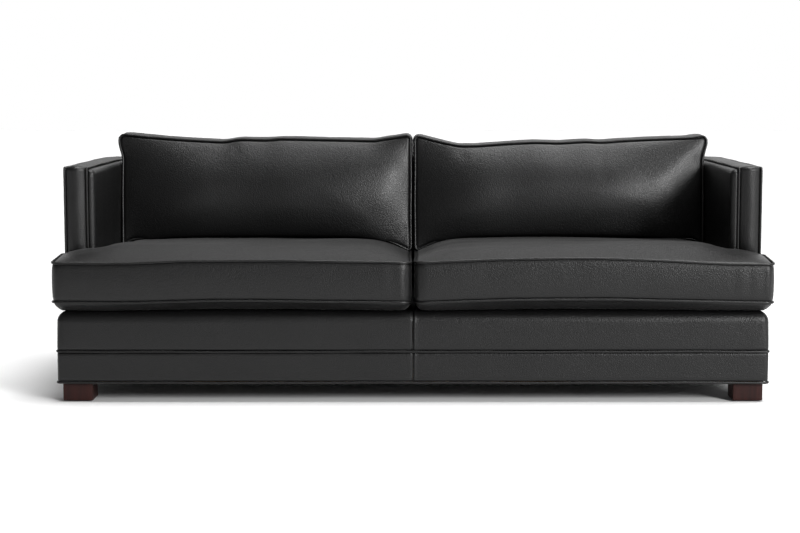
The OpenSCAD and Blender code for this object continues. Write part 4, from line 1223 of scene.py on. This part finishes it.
def wall_panel(name, path, outs, rows, nodes, seed, side=1, depth=0.0009):
    """An upright leather panel along a plan path, with its outward directions."""
    sizes = bpy.context.scene.sofa_sizes
    ripple = waves(seed, 9, 0.16, 0.60, depth)
    along = run_along(path)
    near = np.minimum(along, along[-1] - along)
    roll = 0.0024 * np.exp(-(near / 0.0022) ** 2)
    outer, inner = [], []
    for e, z in rows:
        wave = ripple(along, np.full(len(along), z)) * np.clip(near / 0.05, 0, 1) * (e < 0.001)
        front = path - outs * (e + roll - wave)[:, None]
        back = path - outs * (e + sizes.leather)
        outer.append(np.column_stack([front, np.full(len(path), z)]))
        inner.append(np.column_stack([back, np.full(len(path), z)]))
    points, faces = sheet_of(np.array(outer), np.array(inner))
    points, faces = mirrored(points, faces, side)
    new_piece(name, points, faces, "leather", nodes=nodes)


def side_path(start_y):
    """Plan path along a side and round half of the rear corner, and its outward directions."""
    ys = spaced(start_y, CORNER_Y, 0.022, PANEL_LINES)
    path = [(HALF_W, y) for y in ys]
    outs = [(1.0, 0.0)] * len(ys)
    for a in quarter(15)[1:]:
        a = min(a, math.pi / 2 - FIT / REAR_R)
        path.append((CORNER_X + REAR_R * math.cos(a), CORNER_Y + REAR_R * math.sin(a)))
        outs.append((math.cos(a), math.sin(a)))
    return np.array(path), np.array(outs)


def back_path():
    """Plan path along the back from right to left, and its outward directions."""
    reach = CORNER_X - FIT
    xs = spaced(-reach, reach, 0.024, PANEL_LINES)[::-1]
    return np.column_stack([xs, np.full(len(xs), REAR_Y)]), np.tile((0.0, 1.0), (len(xs), 1))


def around(z, out):
    """Closed path round the base at height z, at a distance out from its faces."""
    r = BASE_CORNER + out
    w, f = HALF_W - BASE_CORNER, FRONT_Y + BASE_CORNER
    path = [(x, FRONT_Y - out) for x in np.linspace(-w, w, 90)]
    path += [(w + r * math.sin(a), f - r * math.cos(a)) for a in quarter(7)[1:-1]]
    path += [(HALF_W + out, y) for y in np.linspace(f, CORNER_Y, 36)]
    big = REAR_R + out
    path += [(CORNER_X + big * math.cos(a), CORNER_Y + big * math.sin(a)) for a in quarter(15)[1:-1]]
    path += [(x, REAR_Y + out) for x in np.linspace(CORNER_X, -CORNER_X, 80)]
    path += [(-CORNER_X - big * math.sin(a), CORNER_Y + big * math.cos(a)) for a in quarter(15)[1:-1]]
    path += [(-HALF_W - out, y) for y in np.linspace(CORNER_Y, f, 36)]
    path += [(-w - r * math.cos(a), f - r * math.sin(a)) for a in quarter(7)[1:-1]]
    path = np.array(path)
    sag = 0.0006 * np.sin(7 * path[:, 0] + 2) + 0.0005 * np.sin(19 * path[:, 0] + 5 * path[:, 1])
    return np.column_stack([path, z + sag])


def rim_path(x, back_y, r):
    """Path of a frame welt: up one arm front, round the top, and down the other."""
    foot = DECK_Z + 0.0045
    y, z = ARM_Y + 0.002, TOP_Z - 0.002
    half = [(x, y, h) for h in np.linspace(foot, z - WELT_BEND, 26)]
    half += [(x, y + WELT_BEND * (1 - math.cos(a)), z - WELT_BEND * (1 - math.sin(a)))
             for a in quarter(7)[1:]]
    half += [(x, h, z) for h in np.linspace(y + WELT_BEND, back_y - r, 36)[1:]]
    half += [(x - r + r * math.cos(a), back_y - r + r * math.sin(a), z) for a in quarter(13)[1:]]
    half += [(h, back_y, z) for h in np.linspace(x - r, 0, 40)[1:]]
    half = np.array(half)
    other = half[-2::-1].copy()
    other[:, 0] *= -1
    path = np.concatenate([half, other])
    path[:, 2] += 0.0005 * np.sin(23 * path[:, 1] + 9 * path[:, 0]) * (path[:, 2] > z - 0.001)
    return path


def strip_lift(across, x0, x1, crown, wave):
    """Lift of the leather between two welts: crowned and uneven between them, drawn in beside each."""
    share = (across - x0) / (x1 - x0)
    arch = np.sin(math.pi * share)
    near = np.minimum(across - x0, x1 - across)
    return crown * arch - 0.0022 * np.exp(-(near / 0.0016) ** 2) + wave * arch


def arm_strip(side):
    """The leather between the two welts of an arm, up its front and back along its top."""
    sizes = bpy.context.scene.sofa_sizes
    name = SIDES[side]
    x0 = low("arm_front_panel_right").x
    x1 = high("arm_front_panel_right").x
    up = spaced(DECK_Z + FIT, TOP_Z - STRIP_BEND, 0.016, ends=(0.0015, 0.004, 0.010))
    path = [(ARM_Y, z, 0.0) for z in up]
    for a in quarter(8)[1:]:
        path.append((ARM_Y + STRIP_BEND * (1 - math.cos(a)), TOP_Z - STRIP_BEND * (1 - math.sin(a)), a))
    for y in spaced(ARM_Y + STRIP_BEND, CORNER_Y - FIT, 0.020, ends=(0.002, 0.008, 0.020))[1:]:
        path.append((y, TOP_Z, math.pi / 2))
    across = spaced(x0, x1, 0.008, STRIP_LINES)
    ripple = waves(51 + side, 8, 0.05, 0.30, 0.0006)
    outer, inner = [], []
    run, turn_in = 0.0, 0.004
    last = path[0]
    for y, z, a in path:
        crown = 0.0040 + 0.0075 * smooth_step((z - 0.43) / 0.05) * (1 - a / (math.pi / 2))
        run += math.hypot(y - last[0], z - last[1])
        last = (y, z, a)
        lift = strip_lift(across, x0, x1, crown, ripple(across, np.full(len(across), run)))
        from_end = max(min(run, CORNER_Y - FIT - y), 0)
        if from_end < turn_in:
            lift = lift - 0.0016 * (1 - from_end / turn_in)
        ny, nz = -math.cos(a), math.sin(a)
        outer.append(np.column_stack([across, y + ny * lift, z + nz * lift]))
        inner.append(np.column_stack([across, np.full(len(across), y - ny * sizes.leather),
                                      np.full(len(across), z - nz * sizes.leather)]))
    points, faces = sheet_of(np.array(outer), np.array(inner))
    points, faces = mirrored(points, faces, side)
    new_piece("arm_boxing_" + name, points, faces, "leather",
              nodes=("arm_front_panel_" + name, "arm_top_band_" + name))


def back_strip():
    """The leather between the two welts of the back frame, round both rear corners."""
    sizes = bpy.context.scene.sofa_sizes
    r0 = low("arm_front_panel_right").x - CORNER_X
    r1 = high("arm_front_panel_right").x - CORNER_X
    stations = [(CORNER_X, math.cos(a), math.sin(a)) for a in quarter(17)]
    stations += [(x, 0.0, 1.0) for x in np.linspace(CORNER_X, -CORNER_X, 84)[1:-1]]
    stations += [(-CORNER_X, -math.sin(a), math.cos(a)) for a in quarter(17)]
    across = spaced(r0, r1, 0.008, STRIP_LINES)
    ripple = waves(57, 8, 0.05, 0.30, 0.0006)
    outer, inner = [], []
    for k, (cx, dx, dy) in enumerate(stations):
        lift = strip_lift(across, r0, r1, 0.0040, ripple(across, np.full(len(across), 0.024 * k)))
        x, y = cx + dx * across, CORNER_Y + dy * across
        outer.append(np.column_stack([x, y, TOP_Z + lift]))
        inner.append(np.column_stack([x, y, np.full(len(x), TOP_Z - sizes.leather)]))
    points, faces = sheet_of(np.array(outer), np.array(inner))
    new_piece("back_boxing", points, turned_over(faces), "leather", nodes=("back_top_band",))


def arm_pad(side):
    """Padding inside an arm, with soft front and top edges; it runs on below the inner welt."""
    sizes = bpy.context.scene.sofa_sizes
    name = SIDES[side]
    a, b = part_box("arm_inner_cover_right")
    xs = np.array([a.x, a.x + 0.005, a.x + 0.010, a.x + 0.015, b.x])
    ys, zs = (spaced(start, end, 0.018, PAD_LINES) for start, end in ((a.y, b.y), (a.z, b.z)))
    points, faces = block_skin(xs, ys, zs)
    on_frame, at_end = points[:, 0] > b.x - FIT, points[:, 1] > b.y - FIT
    inside = np.clip((b.x - points[:, 0]) / (b.x - a.x), 0, 1)
    middle = np.sin(math.pi * np.clip((points[:, 2] - a.z) / (b.z - a.z), 0, 1)) ** 0.6 \
        * np.sin(math.pi * np.clip((points[:, 1] - a.y) / (b.y - a.y), 0, 1)) ** 0.5
    ripple = waves(61 + side, 8, 0.08, 0.35, 0.0014)(points[:, 1], points[:, 2])
    square = smooth_step((points[:, 1] - CORNER_Y) / 0.03)
    rounded = round_towards(points.copy(), (a.x, a.y, b.z), (-1, -1, 1), sizes.pad_edge)
    points += (rounded - points) * (1 - square)[:, None]
    points[:, 0] += on_frame * (WELT_IN - b.x) * smooth_step((points[:, 1] - a.y - 0.004) / 0.004)
    points[:, 1] += at_end * PAD_REACH
    full = 0.0015 * (points[:, 1] > 0.3) + ripple * 0.5
    points[:, 0] -= inside * full * middle * (points[:, 1] > -0.28)
    points, faces = mirrored(points, faces, side)
    new_piece("arm_pad_" + name, points, faces, "leather",
              nodes=("arm_inner_cover_" + name, "arm_foam_" + name))


def back_pad():
    """Padding on the back frame: upright behind the seats, then raked to the top."""
    a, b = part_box("inside_back_cover")
    sizes = bpy.context.scene.sofa_sizes
    xs = spaced_halves(a.x, b.x, 0.024, ends=(0.002, 0.006, 0.014))
    shares = np.array([0.0, 0.08, 0.16, 0.26, 0.5, 1.0])
    points, faces = block_skin(xs, shares, spaced(a.z, b.z, 0.018, PAD_LINES))
    knee = DECK_Z + KNEE_RISE
    z = points[:, 2]
    face_y = np.where(z < knee, a.y, a.y + (KNEE_TOP_Y - a.y) * (z - knee) / (b.z - knee))
    face_y += 0.006 * np.exp(-((z - knee) / 0.05) ** 2)
    share = 1 - points[:, 1]
    front_y = face_y + points[:, 1] * (high("frame_inner_welt").y - FIT - face_y)
    seam = 0.003 * np.exp(-(points[:, 0] / 0.004) ** 2)
    ripple = waves(67, 8, 0.10, 0.4, 0.0012)(points[:, 0], z)
    points[:, 1] = front_y + share * (seam + np.abs(ripple) * 0.6)
    rake = face_y - KNEE_TOP_Y
    points[:, 1] -= rake
    points = round_towards(points, (0, KNEE_TOP_Y, b.z), (0, -1, 1), sizes.pad_edge)
    points[:, 1] += rake
    new_piece("inside_back", points, faces, "leather",
              nodes=("inside_back_cover", "inside_back_foam"))


def foot(name):
    """A square block foot with eased edges."""
    a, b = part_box("foot_" + name)
    lines = (0.0012, FOOT_EDGE, 0.012)
    points, faces = block_skin(*(spaced(start, end, 0.02, lines) for start, end in zip(a, b)))
    for signs in itertools.product((-1, 1), repeat=3):
        corner = [end if sign > 0 else start for sign, start, end in zip(signs, a, b)]
        points = round_towards(points, corner, signs, FOOT_EDGE)
    new_piece("foot_block_" + name, points, faces, "feet", nodes=("foot_" + name,))


def deck_cover():
    """Padded cloth on which the seats lie: it sags a little and is drawn in at its middle seam."""
    a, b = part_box("deck_pad")
    ys = np.append(spaced(a.y, b.y, 0.03), b.y + DECK_REACH)
    points, faces = block_skin(spaced_halves(a.x, b.x, 0.03), ys, np.linspace(a.z, b.z, 4))
    sag = np.sin(math.pi * (points[:, 0] - a.x) / (b.x - a.x)) * np.sin(
        math.pi * np.clip((points[:, 1] - a.y) / (b.y - a.y), 0, 1))
    seam = np.exp(-(points[:, 0] / 0.004) ** 2)
    points[:, 2] -= (points[:, 2] > b.z - 0.001) * (0.004 * sag + 0.004 * seam)
    points = round_towards(points, (0, a.y, b.z), (0, -1, 1), 0.006)
    new_piece("deck_cover", points, faces, "deck_cloth", nodes=("deck_pad",))


def dust_sheet():
    """Thin cloth stapled below the base, slightly slack between its staples."""
    a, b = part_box("dust_cover")
    shares = np.linspace(-1, 1, 80)
    bend = REAR_R - (HALF_W - b.x)
    turns = CORNER_Y + bend * np.sin(quarter(12)[1:])
    ys = np.concatenate([np.linspace(a.y, CORNER_Y, 30), turns])
    reach = CORNER_X + np.sqrt(np.maximum(bend ** 2 - np.maximum(ys - CORNER_Y, 0) ** 2, 0))
    grid_x = reach[:, None] * shares[None, :]
    grid_y = np.repeat(ys[:, None], len(shares), axis=1)
    near = np.minimum.reduce([reach[:, None] - np.abs(grid_x), grid_y - a.y, ys[-1] - grid_y])
    slack = waves(97, 8, 0.12, 0.5, 0.0012)(grid_x, grid_y)
    hang = rise(near, 0.09, 1.6) * (0.0035 + slack)
    lower = np.stack([grid_x, grid_y, a.z - hang], 2)
    upper = np.stack([grid_x, grid_y, a.z - hang + (b.z - a.z)], 2)
    points, faces = sheet_of(upper, lower)
    piece = new_piece("dust_sheet", points, faces, "deck_cloth",
                      nodes=("dust_cover",))


class SOFA_OT_seat_cushions(bpy.types.Operator):
    """Build both seat cushions and their piping"""
    bl_idname = "sofa.seat_cushions"
    bl_label = "Seat cushions"

    def execute(self, context):
        for side in SIDES:
            seat_cushion(side)
        return {"FINISHED"}


class SOFA_OT_back_cushions(bpy.types.Operator):
    """Build both back cushions and their piping"""
    bl_idname = "sofa.back_cushions"
    bl_label = "Back cushions"

    def execute(self, context):
        for side in SIDES:
            back_cushion(side)
        return {"FINISHED"}


class SOFA_OT_base_covers(bpy.types.Operator):
    """Build the leather of the base and its two welts"""
    bl_idname = "sofa.base_covers"
    bl_label = "Base covers"

    def execute(self, context):
        for side in SIDES:
            base_front(side)
        rows = wall_rows(BASE_LOW, DECK_Z - 0.0001, 0.016, MID_WELT_Z)
        path, outs = side_path(ARM_Y)
        for side, name in SIDES.items():
            wall_panel("base_side_" + name, path, outs, rows, ("base_cover_side_" + name,), 33 + side,
                       side)
        path, outs = back_path()
        wall_panel("base_back", path, outs, rows, ("base_cover_back",), 36)
        r = context.scene.sofa_sizes.welt
        for name, z, node in (("base_middle_piping", MID_WELT_Z, "base_mid_welt"),
                              ("base_bottom_piping", BOTTOM_WELT_Z, "base_bottom_welt")):
            points, faces = tube(around(z, 0.0), r, True, uneven=0.04, seed=90)
            new_piece(name, points, faces, "welt", nodes=(node,))
        return {"FINISHED"}


class SOFA_OT_frame_covers(bpy.types.Operator):
    """Build the leather of the arms and the back frame"""
    bl_idname = "sofa.frame_covers"
    bl_label = "Arm and back covers"

    def execute(self, context):
        rows = wall_rows(DECK_Z + 0.0001, PAD_TOP, 0.020)
        path, outs = side_path(ARM_Y + 0.0062)
        for side, name in SIDES.items():
            wall_panel("outside_arm_" + name, path, outs, rows, ("outside_panel_" + name,), 43 + side,
                       side, depth=0.0014)
            arm_strip(side)
            arm_pad(side)
        path, outs = back_path()
        wall_panel("outside_back", path, outs, rows, ("outside_back_panel",), 46, depth=0.0016)
        back_strip()
        back_pad()
        return {"FINISHED"}


class SOFA_OT_frame_piping(bpy.types.Operator):
    """Build the welts along the top of the frame and down the arm fronts"""
    bl_idname = "sofa.frame_piping"
    bl_label = "Frame piping"

    def execute(self, context):
        r = context.scene.sofa_sizes.welt
        for name, node, corner in (("outer_piping", "frame_outer_welt", REAR_R - 0.002),
                                   ("inner_piping", "frame_inner_welt", WELT_CORNER)):
            end = high(node)
            points, faces = tube(rim_path(end.x - r, end.y - r, corner), r, False, uneven=0.04, seed=95)
            new_piece(name, points, faces, "welt", nodes=(node,))
        return {"FINISHED"}


class SOFA_OT_feet(bpy.types.Operator):
    """Build the four wooden feet"""
    bl_idname = "sofa.feet"
    bl_label = "Feet"

    def execute(self, context):
        for name in ("front_left", "front_right", "rear_left", "rear_right"):
            foot(name)
        return {"FINISHED"}


class SOFA_OT_deck(bpy.types.Operator):
    """Build the cloth deck below the seats and the dust cover below the base"""
    bl_idname = "sofa.deck"
    bl_label = "Deck and dust cover"

    def execute(self, context):
        deck_cover()
        dust_sheet()
        return {"FINISHED"}


NODE_FINISH = {
    "steel": ("foot_bolts", "frame_screws", "seat_springs", "spring_clips", "dust_cover_staples"),
    "glides": ("foot_glides",),
    "timber": ("front_rail", "back_rail", "side_rail_left", "side_rail_right", "cross_rails",
               "corner_blocks", "arm_posts", "arm_top_rails", "back_posts", "back_top_rail"),
    "webbing": ("back_webbing",),
}


class SOFA_OT_structure(bpy.types.Operator):
    """Give the timber, springs, webbing and fasteners of the frame their finishes"""
    bl_idname = "sofa.structure"
    bl_label = "Frame finishes"

    def execute(self, context):
        for finish, names in NODE_FINISH.items():
            for name in names:
                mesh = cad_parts[name].data
                mesh.materials.clear()
                mesh.materials.append(material(finish))
        return {"FINISHED"}


def area_light(name, place, aim, width, height, power):
    """A soft rectangular light that looks at a point."""
    data = bpy.data.lights.new(name, "AREA")
    data.shape = "RECTANGLE"
    data.size, data.size_y = width, height
    data.energy = power
    lamp = bpy.data.objects.new(name, data)
    lamp.location = place
    away = np.array(place, float) - np.array(aim, float)
    flat = math.hypot(away[0], away[1])
    lamp.rotation_euler = (math.atan2(flat, away[2]), 0.0, math.atan2(away[0], -away[1]))
    bpy.context.scene.collection.objects.link(lamp)


# Camera fitted to the photograph, the light that matches it, and the size of the floor
CAMERA_PLACE = (0.0, -5.7957, 0.9864)
CAMERA_PITCH = 0.1052
CAMERA_LENS, CAMERA_SENSOR, CAMERA_SHIFT = 78.28, 36.0, -0.01615
SUN_STRENGTH, SUN_SPREAD, SUN_TILT = 2.95, math.radians(34), (math.radians(1), math.radians(12), 0.0)
FLOOR_HALF = 30.0
FLOOR_SEEN, FLOOR_REFLECTED = (0.90, 0.90, 0.90), (0.70, 0.70, 0.70)


def stage_floor(scene):
    """A pale floor that is darker in reflections than to the camera, so that undersides stay dark."""
    mesh = bpy.data.meshes.new("floor")
    corners = ((-1, -1), (1, -1), (1, 1), (-1, 1))
    mesh.from_pydata([(x * FLOOR_HALF, y * FLOOR_HALF, 0) for x, y in corners], [], [(0, 1, 2, 3)])
    floor = bpy.data.objects.new("floor", mesh)
    scene.collection.objects.link(floor)
    paint, tree, shader = new_material("studio_floor", FLOOR_SEEN, 0.9, **{"Specular IOR Level": 0.1})
    direct = add(tree, "LightPath").outputs["Is Camera Ray"]
    tree.links.new(between(tree, direct, FLOOR_REFLECTED, FLOOR_SEEN), shader.inputs["Base Color"])
    mesh.materials.append(paint)


def stage_world(scene):
    """White to the camera; to the sofa, brighter on the right and behind."""
    world = bpy.data.worlds.new("studio")
    world.use_nodes = True
    scene.world = world
    tree = world.node_tree
    tree.nodes.clear()
    where = add(tree, "TexCoord").outputs["Generated"]
    apart = add(tree, "SeparateXYZ", None, {0: where}).outputs
    glow = eased_ramp(tree, apart["Z"], 0.0, 0.9, 0.33, 0.32)
    turn = eased_ramp(tree, apart["X"], -0.9, 0.9, 0.38, 1.20)
    behind = eased_ramp(tree, apart["Y"], 0.25, 0.85, 0.0, 0.60)
    glow = math_node(tree, "MULTIPLY", math_node(tree, "ADD", glow, behind), turn)
    seen = add(tree, "LightPath").outputs["Is Camera Ray"]
    level = add(tree, "Mix", {3: 1.0}, {0: seen, 2: glow}).outputs[0]
    back = add(tree, "Background", {"Color": (1.0, 1.0, 1.0, 1.0)}, {"Strength": level})
    add(tree, "OutputWorld", None, {"Surface": back.outputs[0]})


def stage_light(scene):
    """Wide daylight from above and a large soft light from the front right."""
    sky = bpy.data.lights.new("daylight", "SUN")
    sky.energy = SUN_STRENGTH
    sky.angle = SUN_SPREAD
    lamp = bpy.data.objects.new("daylight", sky)
    lamp.rotation_euler = SUN_TILT
    scene.collection.objects.link(lamp)
    area_light("key_right", (5.7, -7.2, 3.8), (-0.1, 0.1, 0.6), 2.4, 2.8, 740)


def stage_camera(scene):
    """The camera of the photograph."""
    data = bpy.data.cameras.new("camera")
    data.lens = CAMERA_LENS
    data.sensor_width = CAMERA_SENSOR
    data.shift_x = CAMERA_SHIFT
    camera = bpy.data.objects.new("camera", data)
    camera.location = CAMERA_PLACE
    camera.rotation_euler = (math.pi / 2 - CAMERA_PITCH, 0.0, 0.0)
    scene.collection.objects.link(camera)
    scene.camera = camera


class SOFA_OT_stage(bpy.types.Operator):
    """Set up the floor, the light and the camera"""
    bl_idname = "sofa.stage"
    bl_label = "Stage"

    def execute(self, context):
        scene = context.scene
        scene.view_settings.view_transform = "Standard"
        stage_floor(scene)
        stage_world(scene)
        stage_light(scene)
        stage_camera(scene)
        return {"FINISHED"}


OPERATORS = (SOFA_OT_seat_cushions, SOFA_OT_back_cushions, SOFA_OT_base_covers, SOFA_OT_frame_covers,
             SOFA_OT_frame_piping, SOFA_OT_feet, SOFA_OT_deck, SOFA_OT_structure, SOFA_OT_stage)


class SOFA_PT_panel(bpy.types.Panel):
    """Sizes, finishes and pieces of the sofa"""
    bl_idname = "SOFA_PT_panel"
    bl_label = "Leather sofa"
    bl_space_type = "VIEW_3D"
    bl_region_type = "UI"
    bl_category = "Sofa"

    def draw(self, context):
        column = self.layout.column()
        for props in (context.scene.sofa_sizes, context.scene.sofa_finish):
            for key in props.__annotations__:
                column.prop(props, key)
        for operator in OPERATORS:
            column.operator(operator.bl_idname)


CLASSES = (SofaSizes, SofaFinish, *OPERATORS, SOFA_PT_panel)


def register():
    for item in CLASSES:
        bpy.utils.register_class(item)
    bpy.types.Scene.sofa_sizes = PointerProperty(type=SofaSizes)
    bpy.types.Scene.sofa_finish = PointerProperty(type=SofaFinish)


def unregister():
    del bpy.types.Scene.sofa_finish
    del bpy.types.Scene.sofa_sizes
    for item in reversed(CLASSES):
        bpy.utils.unregister_class(item)


def main():
    register()
    bpy.ops.sofa.seat_cushions()
    bpy.ops.sofa.back_cushions()
    bpy.ops.sofa.base_covers()
    bpy.ops.sofa.frame_covers()
    bpy.ops.sofa.frame_piping()
    bpy.ops.sofa.feet()
    bpy.ops.sofa.deck()
    bpy.ops.sofa.structure()
    bpy.ops.sofa.stage()
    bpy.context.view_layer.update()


if __name__ == "__main__":
    main()
